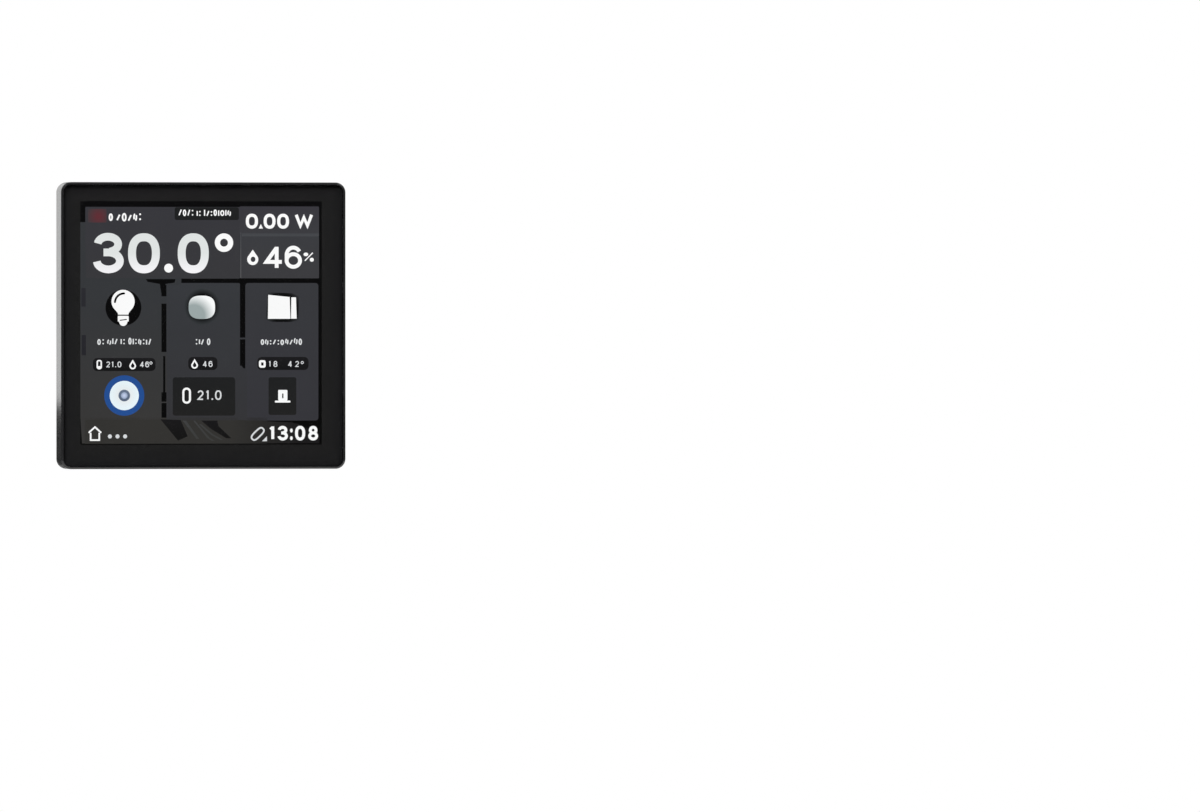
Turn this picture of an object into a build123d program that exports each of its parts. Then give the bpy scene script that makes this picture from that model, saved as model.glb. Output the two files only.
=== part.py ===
from build123d import *
from math import atan2, degrees, sqrt
import os

os.makedirs("parts", exist_ok=True)

# Smart home touch panel for a wall box, in millimetres.
# A slim display unit with a glass front clips onto a steel wall plate, and the plate
# carries a mains module that reaches into the wall box.
# X is right and Z is up as seen from the room, and +Y points into the wall.
# The origin is the middle of the wall plate's back, on the surface of the wall.

# Front of the display unit
unit_size = 86.0
unit_depth = 13.0
wall_gap = 0.3
corner_radius = 3.0
front_chamfer = 0.5
back_chamfer = 0.4
bezel_left = 5.9
bezel_right = 7.1
bezel_top = 5.7
bezel_bottom = 7.3

# Frame
frame_wall = 1.6
frame_lip = 0.7
ledge_thickness = 1.0
vent_width = 1.0
vent_length = 2.6
vent_pitch = 2.2
bottom_vent_count = 9
top_vent_count = 15
pinhole_radius = 0.7
pry_notch_width = 8.0
pry_notch_depth = 1.5

# Glass and display
glass_thickness = 1.1
glass_gap = 0.05
glass_chamfer = 0.2
tape_thickness = 0.3
tape_inset = 0.3
adhesive_thickness = 0.15
lcd_border = 1.8
driver_ledge = 2.4
lcd_sheet = 0.45
window_gap = 0.2
backlight_depth = 1.5
tray_wall = 0.3
tray_inset = 0.2
guide_thickness = 0.9
led_row = 2.2
led_count = 12
led_length = 3.0
led_height = 0.6
driver_length = 16.0
driver_width = 0.9
driver_height = 0.25

# Flexible circuits
flex_thickness = 0.15
flex_bond = 1.0
flex_loop_gap = 0.7
flex_bend = 0.35
flex_slot_height = 0.5
lcd_flex_width = 24.0
touch_flex_width = 6.0
touch_flex_inset = 17.5
connector_height = 0.85
connector_length = 4.0
connector_margin = 1.0
connector_inset = 5.0
flex_insertion = 2.5

# Main board and what it carries
component_room = 0.95
board_margin = 3.4
board_thickness = 1.0
board_corner = 2.0
board_screw_inset = 8.0
board_screw_radius = 1.0
board_screw_head = 1.9
board_screw_head_height = 0.8
board_screw_engagement = 2.2
screw_gap = 0.05
isolation_slot = 1.0
sensor_inset = 21.0
sensor_tongue = 7.0
sensor_size = 2.5
sensor_height = 0.9
reset_inset = 18.0
switch_width = 4.2
switch_length = 3.5
switch_height = 1.5
plunger_radius = 0.5
plunger_gap = 0.05
plunger_reach = 2.9
plunger_seat = 1.6
plunger_travel = 0.3

# Header between the display unit and the mains module
header_z = 6.0
pin_pitch = 2.54
pin_columns = 5
pin_rows = 2
pin_width = 0.64
pin_gap = 0.13
pin_chamfer = 0.15
pin_engagement = 5.8
plug_margin = 1.2
plug_height = 2.3
mating_gap = 0.2
window_margin = 0.75

# Rear cover
boss_height = 1.8
boss_half_width = 2.4
cover_floor = 1.2
cover_gap = 0.2
cover_wall = 1.6
cover_inner_corner = 1.0
stop_depth = 1.4
stop_width = 5.0
stop_inset = 5.0
snap_height = 0.55
snap_width = 6.0
snap_inset = 8.0
snap_gap = 0.15
snap_from_back = 1.3
post_size = 2.8
post_gap = 0.05
post_inset = 3.5
post_z = 12.0

# Wall plate and clips
plate_thickness = 1.0
plate_gap = 1.6
plate_corner = 4.0
cap_rise = 0.8
box_screw_spacing = 60.0
box_slot_width = 4.2
box_slot_length = 7.0
surface_hole_spacing = 62.0
surface_hole_radius = 2.0
tab_height = 3.4
tab_width = 12.0
tab_z = 22.0
tab_chamfer = 0.25
tab_relief = 1.0
tab_relief_depth = 2.0
clip_thickness = 0.35
clip_width = 9.0
clip_seat = 0.03
clip_leg = 2.3
clip_bulge = 1.8
clip_bulge_y = -2.4
groove_depth = 0.5
groove_half = 1.0

# Mains module
module_room = 6.0
module_cut = 10.0
module_depth = 29.0
ring_gap = 0.6
lid_thickness = 2.0
lid_lip = 1.0
lip_gap = 0.2
housing_wall = 1.6
housing_chamfer = 1.0
sleeve_height = 2.4
power_board_thickness = 1.6
power_board_gap = 0.3
module_screw_inset = 7.5
module_screw_radius = 1.2
module_screw_head = 2.2
module_screw_head_height = 1.6
module_screw_engagement = 6.0
module_boss_half_width = 2.6

# Terminal block with rising cages
terminal_count = 4
terminal_pitch = 6.6
block_margin = 3.8
block_gap = 0.1
block_height = 12.0
block_depth = 15.0
block_wall = 1.6
flange_thickness = 1.4
flange_inset = 2.0
chamber_width = 5.4
chamber_length = 6.8
shoulder = 1.0
head_cavity = 3.5
head_gap = 0.2
terminal_screw_radius = 1.45
terminal_head_radius = 2.1
terminal_head_height = 1.8
shoulder_gap = 0.15
driver_slot_width = 0.6
driver_slot_depth = 0.8
running_gap = 0.05
cage_width = 4.8
cage_length = 5.0
cage_height = 6.2
cage_nut = 1.6
cage_base = 0.8
cage_side = 0.6
cage_travel = 2.5
cage_stop_gap = 0.2
tongue_thickness = 0.8
tongue_width = 3.2
tongue_gap = 0.1
tongue_slot_gap = 0.05
tongue_end_gap = 0.4
entry_width = 3.4
entry_funnel = 0.6

# Depths of the display unit, from the glass to the rear cover
frame_front = -unit_depth
frame_back = -wall_gap
glass_back = frame_front + glass_thickness
ledge_front = glass_back + tape_thickness
ledge_back = ledge_front + ledge_thickness
lcd_front = glass_back + adhesive_thickness
lcd_step = lcd_front + lcd_sheet
lcd_back = lcd_step + lcd_sheet
tray_back = lcd_back + backlight_depth
board_front = tray_back + component_room
board_back = board_front + board_thickness
floor_front = board_back + boss_height
floor_back = floor_front + cover_floor
plug_back = board_back + plug_height
socket_front = plug_back + mating_gap

# Depths of the wall plate and the mains module
plate_front = -plate_thickness
cap_front = plate_front - cap_rise
cap_back = cap_front + plate_thickness
lid_back = cap_back + lid_thickness
power_board_front = lid_back + sleeve_height
power_board_back = power_board_front + power_board_thickness
housing_back = module_depth
housing_floor = housing_back - housing_wall
block_front = housing_back - block_depth

# Widths and places across the front
pocket_size = unit_size - 2 * frame_lip
glass_size = pocket_size - 2 * glass_gap
frame_inner = unit_size - 2 * frame_wall
screen_width = unit_size - bezel_left - bezel_right
screen_height = unit_size - bezel_top - bezel_bottom
screen_x = (bezel_left - bezel_right) / 2
screen_z = (bezel_bottom - bezel_top) / 2
lcd_width = screen_width + 2 * lcd_border
lcd_sheet_height = screen_height + 2 * lcd_border
lcd_height = lcd_sheet_height + driver_ledge
lcd_z = screen_z - driver_ledge / 2
lcd_bottom = lcd_z - lcd_height / 2
lcd_sheet_bottom = screen_z - lcd_sheet_height / 2
board_size = frame_inner - 2 * board_margin
board_bottom = -board_size / 2
board_screw_spacing = board_size - 2 * board_screw_inset
sensor_x = sensor_inset - board_size / 2
reset_x = board_size / 2 - reset_inset
touch_flex_x = board_size / 2 - touch_flex_inset
cover_outer = frame_inner - 2 * cover_gap
cover_inner = cover_outer - 2 * cover_wall
plate_size = cover_inner - 2 * plate_gap
module_half = box_screw_spacing / 2 - module_room
module_screw_spacing = 2 * (module_half - module_screw_inset)
terminal_span = (terminal_count - 1) * terminal_pitch
terminal_places = [index * terminal_pitch - terminal_span / 2 for index in range(terminal_count)]
snap_y = frame_back - snap_from_back
vent_y = (ledge_back + floor_front) / 2
reset_y = board_back + switch_height / 2


def depth(y):
    """A plane parallel to the wall at depth y, drawn as seen from the room."""
    return Plane.XZ.offset(-y)


def side_plane(direction, along):
    """A plane across one side of the unit: x runs outward and y into the wall."""
    outward = Vector(direction[0], 0, direction[1])
    sideways = outward.cross(Vector(0, 1, 0)) * -1
    return Plane(origin=sideways * -along, x_dir=outward, z_dir=outward.cross(Vector(0, 1, 0)))


def octagon(inset=0.0, mode=Mode.ADD):
    """The outline of the mains module, drawn in by an inset all round."""
    half = module_half - inset
    flat = half - module_cut + inset * (2 - sqrt(2))
    corners = []
    for x_side, z_side in ((1, 1), (-1, 1), (-1, -1), (1, -1)):
        pair = [(x_side * half, z_side * flat), (x_side * flat, z_side * half)]
        corners += pair if x_side == z_side else pair[::-1]
    Polygon(*corners, mode=mode)


def eight_sided(half_width):
    """The outline of an eight-sided boss, its flats in line with those of the mains module."""
    sides = 8
    RegularPolygon(half_width, sides, major_radius=False, rotation=180 / sides)


def save(piece, label):
    """Name a finished piece and write it."""
    piece.part.label = label
    export_step(piece.part, f"parts/{label}.step")


four_sides = ((1, 0), (0, 1), (-1, 0), (0, -1))

# Front frame: a slim moulded ring with a ledge for the glass
stop_places = frame_inner / 2 - stop_inset
snap_places = frame_inner / 2 - snap_inset
notch_drop = lcd_bottom - flex_loop_gap - flex_thickness - window_gap / 2
snap_top = frame_inner / 2 - snap_height
with BuildPart() as front_frame:
    with BuildSketch(depth(frame_back)):
        RectangleRounded(unit_size, unit_size, corner_radius)
    extrude(amount=frame_back - frame_front)
    chamfer(front_frame.faces().sort_by(Axis.Y)[0].edges(), front_chamfer)
    chamfer(front_frame.faces().sort_by(Axis.Y)[-1].edges(), back_chamfer)
    with BuildSketch(depth(frame_back)):
        RectangleRounded(frame_inner, frame_inner, corner_radius - frame_wall)
    extrude(amount=frame_back - ledge_back, mode=Mode.SUBTRACT)
    with BuildSketch(depth(ledge_front)):
        RectangleRounded(pocket_size, pocket_size, corner_radius - frame_lip)
    extrude(amount=ledge_front - frame_front, mode=Mode.SUBTRACT)
    with BuildSketch(depth(ledge_back)):
        with Locations((screen_x, lcd_z)):
            Rectangle(lcd_width + 2 * window_gap, lcd_height + 2 * window_gap)
        for flex_x, flex_width in ((0, lcd_flex_width), (touch_flex_x, touch_flex_width)):
            with Locations((flex_x, notch_drop)):
                Rectangle(flex_width + 2 * window_gap, 2 * driver_ledge, align=(Align.CENTER, Align.MIN))
    extrude(amount=ledge_thickness, mode=Mode.SUBTRACT)
    # Ribs that the rear cover comes to rest on
    with BuildSketch(depth(floor_front)):
        for along in (-stop_places, stop_places):
            for side in (-1, 1):
                reach = side * (frame_inner - stop_depth) / 2
                with Locations((reach, along)):
                    Rectangle(stop_depth, stop_width)
                with Locations((along, reach)):
                    Rectangle(stop_width, stop_depth)
    extrude(amount=floor_front - ledge_back)
    # Snap ribs that hold the rear cover
    for direction in four_sides:
        for along in (-snap_places, snap_places):
            with BuildSketch(side_plane(direction, along)):
                Polygon(
                    (frame_inner / 2 + snap_height / 2, snap_y - 2 * snap_height),
                    (snap_top, snap_y - snap_height),
                    (snap_top, snap_y + snap_height),
                    (frame_inner / 2 + snap_height / 2, snap_y + 2 * snap_height),
                    align=None,
                )
            extrude(amount=snap_width / 2, both=True)
    # Air slots to the climate sensor below and out at the top
    with BuildSketch(Plane.XY.offset(-unit_size / 2)):
        with Locations((sensor_x, vent_y)):
            with GridLocations(vent_pitch, 0, bottom_vent_count, 1):
                Rectangle(vent_width, vent_length)
        with Locations((reset_x, reset_y)):
            Circle(pinhole_radius)
    extrude(amount=frame_wall, mode=Mode.SUBTRACT)
    with BuildSketch(Plane.XY.offset(unit_size / 2)):
        with Locations((0, vent_y)):
            with GridLocations(vent_pitch, 0, top_vent_count, 1):
                Rectangle(vent_width, vent_length)
    extrude(amount=-frame_wall, mode=Mode.SUBTRACT)
    # Notch for the blade that levers the unit off the wall plate
    with BuildSketch(Plane.XY.offset(-unit_size / 2)):
        with Locations((0, frame_back)):
            Rectangle(pry_notch_width, 2 * pry_notch_depth)
    extrude(amount=frame_wall, mode=Mode.SUBTRACT)
save(front_frame, "front_frame")

# Cover glass
with BuildPart() as cover_glass:
    with BuildSketch(depth(glass_back)):
        RectangleRounded(glass_size, glass_size, corner_radius - frame_lip - glass_gap)
    extrude(amount=glass_thickness)
    chamfer(cover_glass.faces().sort_by(Axis.Y)[0].edges(), glass_chamfer)
save(cover_glass, "cover_glass")

# Tape ring between the glass and the frame's ledge
tape_size = glass_size - 2 * tape_inset
with BuildPart() as glass_tape:
    with BuildSketch(depth(ledge_front)):
        RectangleRounded(tape_size, tape_size, corner_radius - frame_lip)
        with Locations((screen_x, lcd_z)):
            Rectangle(lcd_width + 2 * window_gap, lcd_height + 2 * window_gap, mode=Mode.SUBTRACT)
        for flex_x, flex_width in ((0, lcd_flex_width), (touch_flex_x, touch_flex_width)):
            with Locations((flex_x, notch_drop)):
                Rectangle(
                    flex_width + 2 * window_gap,
                    2 * driver_ledge,
                    align=(Align.CENTER, Align.MIN),
                    mode=Mode.SUBTRACT,
                )
    extrude(amount=tape_thickness)
save(glass_tape, "glass_tape")

# Clear adhesive that bonds the screen to the glass
with BuildPart() as optical_adhesive:
    with BuildSketch(depth(lcd_front)):
        with Locations((screen_x, screen_z)):
            Rectangle(lcd_width, lcd_sheet_height)
    extrude(amount=adhesive_thickness)
save(optical_adhesive, "optical_adhesive")

# Screen: two glass sheets, the rear one longer to carry the driver chip and the flexes
with BuildPart() as lcd_cell:
    with BuildSketch(depth(lcd_back)):
        with Locations((screen_x, lcd_z)):
            Rectangle(lcd_width, lcd_height)
    extrude(amount=lcd_sheet)
    with BuildSketch(depth(lcd_step)):
        with Locations((screen_x, screen_z)):
            Rectangle(lcd_width, lcd_sheet_height)
    extrude(amount=lcd_sheet)
save(lcd_cell, "lcd_cell")

# Driver chip on the screen's lower ledge
with BuildPart() as display_driver:
    with BuildSketch(depth(lcd_step)):
        with Locations((0, lcd_sheet_bottom - driver_width / 2 - window_gap)):
            Rectangle(driver_length, driver_width)
    extrude(amount=driver_height)
save(display_driver, "display_driver")

# Backlight tray: a folded steel pan
tray_width = lcd_width - 2 * tray_inset
tray_height = lcd_height - 2 * tray_inset
with BuildPart() as backlight_tray:
    with BuildSketch(depth(tray_back)):
        with Locations((screen_x, lcd_z)):
            Rectangle(tray_width, tray_height)
    extrude(amount=backlight_depth)
    with BuildSketch(depth(tray_back - tray_wall)):
        with Locations((screen_x, lcd_z)):
            Rectangle(tray_width - 2 * tray_wall, tray_height - 2 * tray_wall)
    extrude(amount=backlight_depth, mode=Mode.SUBTRACT)
save(backlight_tray, "backlight_tray")

# Light guide and its row of lamps, both on the floor of the tray
guide_back = tray_back - tray_wall
guide_width = tray_width - 2 * tray_wall - 2 * window_gap
guide_height = tray_height - 2 * tray_wall - 2 * window_gap - led_row
guide_top = lcd_z + tray_height / 2 - tray_wall - window_gap
with BuildPart() as light_guide:
    with BuildSketch(depth(guide_back)):
        with Locations((screen_x, guide_top)):
            Rectangle(guide_width, guide_height, align=(Align.CENTER, Align.MAX))
    extrude(amount=guide_thickness)
save(light_guide, "light_guide")

led_z = guide_top - guide_height - led_row / 2
led_strip = led_row - 2 * window_gap
with BuildPart() as backlight_leds:
    with BuildSketch(depth(guide_back)):
        with Locations((screen_x, led_z)):
            Rectangle(guide_width, led_strip)
    extrude(amount=flex_thickness)
    with BuildSketch(depth(guide_back - flex_thickness)):
        with Locations((screen_x, led_z)):
            with GridLocations(guide_width / led_count, 0, led_count, 1):
                Rectangle(led_length, led_strip - window_gap)
    extrude(amount=led_height)
save(backlight_leds, "backlight_leds")


def flex_piece(flex_x, flex_width):
    """A flexible circuit from the screen's ledge round the bottom edge to the board."""
    front = lcd_step - flex_thickness / 2
    back = board_front - flex_slot_height
    loop_z = lcd_bottom - flex_loop_gap
    with BuildPart() as flex:
        with BuildSketch(Plane.YZ.offset(flex_x - flex_width / 2)):
            with BuildLine():
                FilletPolyline(
                    (front, lcd_bottom + flex_bond),
                    (front, loop_z),
                    (back, loop_z),
                    (back, board_bottom + connector_inset + flex_insertion),
                    radius=flex_bend,
                )
            trace(line_width=flex_thickness)
        extrude(amount=flex_width)
    return flex


# Flexible circuits of the screen and the touch layer
lcd_flex = flex_piece(0, lcd_flex_width)
save(lcd_flex, "lcd_flex")
touch_flex = flex_piece(touch_flex_x, touch_flex_width)
save(touch_flex, "touch_flex")

# Connectors that take the two flexes
with BuildPart() as flex_connectors:
    for flex_x, flex_width in ((0, lcd_flex_width), (touch_flex_x, touch_flex_width)):
        with BuildSketch(depth(board_front)):
            with Locations((flex_x, board_bottom + connector_inset)):
                Rectangle(
                    flex_width + 2 * connector_margin,
                    connector_length,
                    align=(Align.CENTER, Align.MIN),
                )
        extrude(amount=connector_height)
        with BuildSketch(Plane.XY.offset(board_bottom + connector_inset)):
            with Locations((flex_x, board_front - flex_slot_height)):
                Rectangle(flex_width + 2 * screw_gap, flex_thickness + 2 * screw_gap)
        extrude(amount=flex_insertion + screw_gap, mode=Mode.SUBTRACT)
save(flex_connectors, "flex_connectors")

# Main board, with slots that keep its heat away from the climate sensor
sensor_z = board_bottom + sensor_tongue / 2
slot_x = (sensor_tongue + isolation_slot) / 2
with BuildPart() as main_board:
    with BuildSketch(depth(board_back)):
        RectangleRounded(board_size, board_size, board_corner)
        with GridLocations(board_screw_spacing, board_screw_spacing, 2, 2):
            Circle(board_screw_radius + screw_gap, mode=Mode.SUBTRACT)
        for side in (-1, 1):
            with Locations((sensor_x + side * slot_x, board_bottom)):
                Rectangle(
                    isolation_slot,
                    sensor_tongue,
                    align=(Align.CENTER, Align.MIN),
                    mode=Mode.SUBTRACT,
                )
            with Locations((sensor_x + side * slot_x, board_bottom + sensor_tongue)):
                Rectangle(2 * isolation_slot, isolation_slot, mode=Mode.SUBTRACT)
    extrude(amount=board_thickness)
save(main_board, "main_board")

# Share of a chip's thickness that its top edges are eased by
chip_ease = 0.12


def chip(places, width, height, thickness, surface, toward_room=False):
    """Flat packages standing on a board, each with its top edges eased."""
    ease = thickness * chip_ease
    with BuildPart() as package:
        with BuildSketch(depth(surface)):
            with Locations(*places):
                Rectangle(width, height)
        extrude(amount=thickness if toward_room else -thickness)
        tops = package.faces().group_by(Axis.Y)[0 if toward_room else -1]
        chamfer(tops.edges(), ease)
    return package


# Processor and memory on the back of the main board
processor_x = -10.0
chip_row_inset = 18.0
chip_row_z = board_size / 2 - chip_row_inset
processor_size = 14.0
processor_height = 1.2
processor_chip = chip(
    [(processor_x, chip_row_z)],
    processor_size,
    processor_size,
    processor_height,
    board_back,
)
save(processor_chip, "processor_chip")

memory_x = 6.0
memory_pitch = 12.0
memory_width = 9.0
memory_height = 12.0
memory_thickness = 1.0
memory_chips = chip(
    [(memory_x, chip_row_z), (memory_x + memory_pitch, chip_row_z)],
    memory_width,
    memory_height,
    memory_thickness,
    board_back,
)
save(memory_chips, "memory_chips")

# Inductors in a column and capacitors in two rows
inductor_inset = 12.0
inductor_z = -12.0
inductor_pitch = 7.0
inductor_size = 4.0
inductor_height = 1.5
inductor_count = 4
inductor_x = inductor_inset - board_size / 2
board_inductors = chip(
    [(inductor_x, inductor_z + index * inductor_pitch) for index in range(inductor_count)],
    inductor_size,
    inductor_size,
    inductor_height,
    board_back,
)
save(board_inductors, "board_inductors")

capacitor_x = -12.5
capacitor_z = -8.0
capacitor_column = 3.5
capacitor_row = 3.0
capacitor_columns = 5
capacitor_rows = 2
capacitor_length = 2.0
capacitor_width = 1.25
capacitor_height = 1.2
capacitor_places = [
    (capacitor_x + column * capacitor_column, capacitor_z + row * capacitor_row)
    for column in range(capacitor_columns)
    for row in range(capacitor_rows)
]
board_capacitors = chip(
    capacitor_places,
    capacitor_length,
    capacitor_width,
    capacitor_height,
    board_back,
)
save(board_capacitors, "board_capacitors")

# Climate sensor on its tongue of the board
climate_sensor = chip([(sensor_x, sensor_z)], sensor_size, sensor_size, sensor_height, board_back)
save(climate_sensor, "climate_sensor")

# Radio module: a small board under a shield can with a stepped rim
radio_inset = 16.0
radio_x = board_size / 2 - radio_inset
radio_z = 0.0
radio_width = 16.0
radio_height = 14.0
radio_board = 0.5
radio_can = 1.0
radio_rim = 0.8
radio_edge = 0.25
with BuildPart() as radio_module:
    with BuildSketch(depth(board_back + radio_board)):
        with Locations((radio_x, radio_z)):
            Rectangle(radio_width, radio_height)
    extrude(amount=radio_board)
    with BuildSketch(depth(board_back + radio_board + radio_can)):
        with Locations((radio_x, radio_z)):
            Rectangle(radio_width - 2 * radio_rim, radio_height - 2 * radio_rim)
    extrude(amount=radio_can)
    chamfer(radio_module.faces().sort_by(Axis.Y)[-1].edges(), radio_edge)
save(radio_module, "radio_module")

# Antenna: a folded metal strip on three feet beside the radio module
antenna_inset = 4.0
antenna_x = board_size / 2 - antenna_inset
antenna_width = 2.5
antenna_length = 18.0
antenna_height = 1.5
antenna_sheet = 0.3
antenna_free_span = 12.0
with BuildPart() as wifi_antenna:
    with BuildSketch(Plane.YZ.offset(antenna_x - antenna_width / 2)):
        with Locations((board_back, radio_z - antenna_length / 2)):
            Rectangle(antenna_height, antenna_length, align=(Align.MIN, Align.MIN))
        feed_span = antenna_length - antenna_free_span - 3 * antenna_sheet
        feed_z = radio_z - antenna_length / 2 + antenna_sheet
        free_z = feed_z + feed_span + antenna_sheet
        for start, span in ((feed_z, feed_span), (free_z, antenna_free_span)):
            with Locations((board_back, start)):
                Rectangle(
                    antenna_height - antenna_sheet,
                    span,
                    align=(Align.MIN, Align.MIN),
                    mode=Mode.SUBTRACT,
                )
    extrude(amount=antenna_width)
save(wifi_antenna, "wifi_antenna")

# Reset switch with a bore for its plunger
with BuildPart() as reset_switch:
    with BuildSketch(depth(board_back + switch_height)):
        with Locations((reset_x, board_bottom)):
            Rectangle(switch_width, switch_length, align=(Align.CENTER, Align.MIN))
    extrude(amount=switch_height)
    with BuildSketch(Plane.XY.offset(board_bottom)):
        with Locations((reset_x, reset_y)):
            Circle(plunger_radius + plunger_gap)
    extrude(amount=plunger_seat + plunger_travel + plunger_gap, mode=Mode.SUBTRACT)
save(reset_switch, "reset_switch")

# Reset plunger, pushed up through the pin hole
with BuildPart() as reset_plunger:
    with BuildSketch(Plane.XY.offset(board_bottom - plunger_reach)):
        with Locations((reset_x, reset_y)):
            Circle(plunger_radius)
    extrude(amount=plunger_reach + plunger_seat)
save(reset_plunger, "reset_plunger")

# Header plug on the main board
plug_width = (pin_columns - 1) * pin_pitch + 2 * plug_margin
plug_length = (pin_rows - 1) * pin_pitch + 2 * plug_margin
with BuildPart() as header_plug:
    with BuildSketch(depth(plug_back)):
        with Locations((0, header_z)):
            Rectangle(plug_width, plug_length)
            with GridLocations(pin_pitch, pin_pitch, pin_columns, pin_rows):
                Rectangle(pin_width, pin_width, mode=Mode.SUBTRACT)
    extrude(amount=plug_height)
save(header_plug, "header_plug")

# Header pins, which slide out of the socket when the unit comes off
pin_tip = socket_front + pin_engagement
with BuildPart() as header_pins:
    with BuildSketch(depth(pin_tip)):
        with Locations((0, header_z)):
            with GridLocations(pin_pitch, pin_pitch, pin_columns, pin_rows):
                Rectangle(pin_width, pin_width)
    extrude(amount=pin_tip - board_back)
    chamfer(header_pins.faces().group_by(Axis.Y)[-1].edges(), pin_chamfer)
save(header_pins, "header_pins")

# Rear cover: a floor with bosses for the board and a rim that slips over the wall plate
window_width = plug_width + 2 * window_margin
window_length = plug_length + 2 * window_margin
with BuildPart() as rear_cover:
    with BuildSketch(depth(frame_back)):
        RectangleRounded(cover_outer, cover_outer, corner_radius - frame_wall - cover_gap)
    extrude(amount=frame_back - floor_front)
    with BuildSketch(depth(frame_back)):
        RectangleRounded(cover_inner, cover_inner, cover_inner_corner)
    extrude(amount=frame_back - floor_back, mode=Mode.SUBTRACT)
    with BuildSketch(depth(floor_front)):
        with GridLocations(board_screw_spacing, board_screw_spacing, 2, 2):
            eight_sided(boss_half_width)
    extrude(amount=boss_height)
    with BuildSketch(depth(board_back)):
        with GridLocations(board_screw_spacing, board_screw_spacing, 2, 2):
            Circle(board_screw_radius + screw_gap)
    extrude(amount=-board_screw_engagement - screw_gap, mode=Mode.SUBTRACT)
    with BuildSketch(depth(floor_back)):
        with Locations((0, header_z)):
            Rectangle(window_width, window_length)
    extrude(amount=cover_floor, mode=Mode.SUBTRACT)
    # Posts that rest on the wall plate
    with BuildSketch(depth(plate_front - post_gap)):
        with GridLocations(plate_size - 2 * post_inset, 2 * post_z, 2, 2):
            Rectangle(post_size, post_size)
    extrude(amount=plate_front - post_gap - floor_back)
    # Recesses over the frame's snap ribs
    for direction in four_sides:
        for along in (-snap_places, snap_places):
            with BuildSketch(side_plane(direction, along)):
                Polygon(
                    (cover_outer / 2 + snap_gap, snap_y - 2 * snap_height - snap_gap),
                    (snap_top - snap_gap, snap_y - snap_height - snap_gap),
                    (snap_top - snap_gap, snap_y + snap_height + snap_gap),
                    (cover_outer / 2 + snap_gap, snap_y + 2 * snap_height + snap_gap),
                    align=None,
                )
            extrude(amount=snap_width / 2 + snap_gap, both=True, mode=Mode.SUBTRACT)
    # Grooves that the wall plate's clips spring into
    for direction in ((1, 0), (-1, 0)):
        for along in (-tab_z, tab_z):
            with BuildSketch(side_plane(direction, along)):
                Polygon(
                    (cover_inner / 2 - groove_depth, clip_bulge_y - 2 * groove_half),
                    (cover_inner / 2 + groove_depth, clip_bulge_y),
                    (cover_inner / 2 - groove_depth, clip_bulge_y + 2 * groove_half),
                    align=None,
                )
            extrude(amount=tab_width / 2, both=True, mode=Mode.SUBTRACT)
save(rear_cover, "rear_cover")

# Size of a screw's cross recess, as shares of the head's radius and height
recess_length_share = 1.2
recess_width_share = 0.25
recess_depth_share = 0.5


def screws(spacing, seat, shank_radius, length, head_radius, head_height):
    """Four cheese-head screws in a square, driven from the room, with cross recesses."""
    recess_length = head_radius * recess_length_share
    recess_width = head_radius * recess_width_share
    with BuildPart() as group:
        with BuildSketch(depth(seat)):
            with GridLocations(spacing, spacing, 2, 2):
                Circle(shank_radius)
        extrude(amount=-length)
        with BuildSketch(depth(seat)):
            with GridLocations(spacing, spacing, 2, 2):
                Circle(head_radius)
        extrude(amount=head_height)
        with BuildSketch(depth(seat - head_height)):
            with GridLocations(spacing, spacing, 2, 2):
                Rectangle(recess_length, recess_width)
                Rectangle(recess_width, recess_length)
        extrude(amount=-head_height * recess_depth_share, mode=Mode.SUBTRACT)
    return group


# Screws that hold the main board to the rear cover
board_screws = screws(
    board_screw_spacing,
    board_front,
    board_screw_radius,
    board_thickness + board_screw_engagement,
    board_screw_head,
    board_screw_head_height,
)
save(board_screws, "board_screws")

# Wall plate: a pressed steel sheet with a raised middle and four bent tabs
tab_places = ((1, 1), (-1, 1), (-1, -1), (1, -1))
with BuildPart() as wall_plate:
    with BuildSketch(depth(0)):
        RectangleRounded(plate_size, plate_size, plate_corner)
        octagon(-ring_gap, mode=Mode.SUBTRACT)
    extrude(amount=plate_thickness)
    with BuildSketch(depth(0)):
        octagon(-ring_gap - plate_thickness)
        octagon(-ring_gap, mode=Mode.SUBTRACT)
    extrude(amount=plate_thickness + cap_rise)
    with BuildSketch(depth(cap_back)):
        octagon(-ring_gap - plate_thickness)
    extrude(amount=plate_thickness)
    chamfer(wall_plate.faces().sort_by(Axis.Y)[0].outer_wire().edges(), cap_rise / 2)
    with BuildSketch(depth(cap_back)):
        with Locations((0, header_z)):
            Rectangle(window_width, window_length)
        with GridLocations(module_screw_spacing, module_screw_spacing, 2, 2):
            Circle(module_screw_radius + screw_gap)
    extrude(amount=plate_thickness, mode=Mode.SUBTRACT)
    with BuildSketch(depth(0)):
        with GridLocations(box_screw_spacing, 0, 2, 1):
            SlotOverall(box_slot_length, box_slot_width)
        with GridLocations(0, box_screw_spacing, 1, 2):
            SlotOverall(box_slot_length, box_slot_width, rotation=90)
        with GridLocations(surface_hole_spacing, surface_hole_spacing, 2, 2):
            Circle(surface_hole_radius)
        for x_side, z_side in tab_places:
            for edge in (-1, 1):
                relief_z = z_side * tab_z + edge * (tab_width + tab_relief) / 2
                with Locations((x_side * plate_size / 2, relief_z)):
                    Rectangle(2 * tab_relief_depth, tab_relief)
    extrude(amount=plate_thickness, mode=Mode.SUBTRACT)
    with BuildSketch(depth(0)):
        for x_side, z_side in tab_places:
            with Locations((x_side * (plate_size - plate_thickness) / 2, z_side * tab_z)):
                Rectangle(plate_thickness, tab_width)
    extrude(amount=tab_height)
    chamfer(wall_plate.faces().group_by(Axis.Y)[0].edges().filter_by(Axis.Z), tab_chamfer)
save(wall_plate, "wall_plate")

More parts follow.
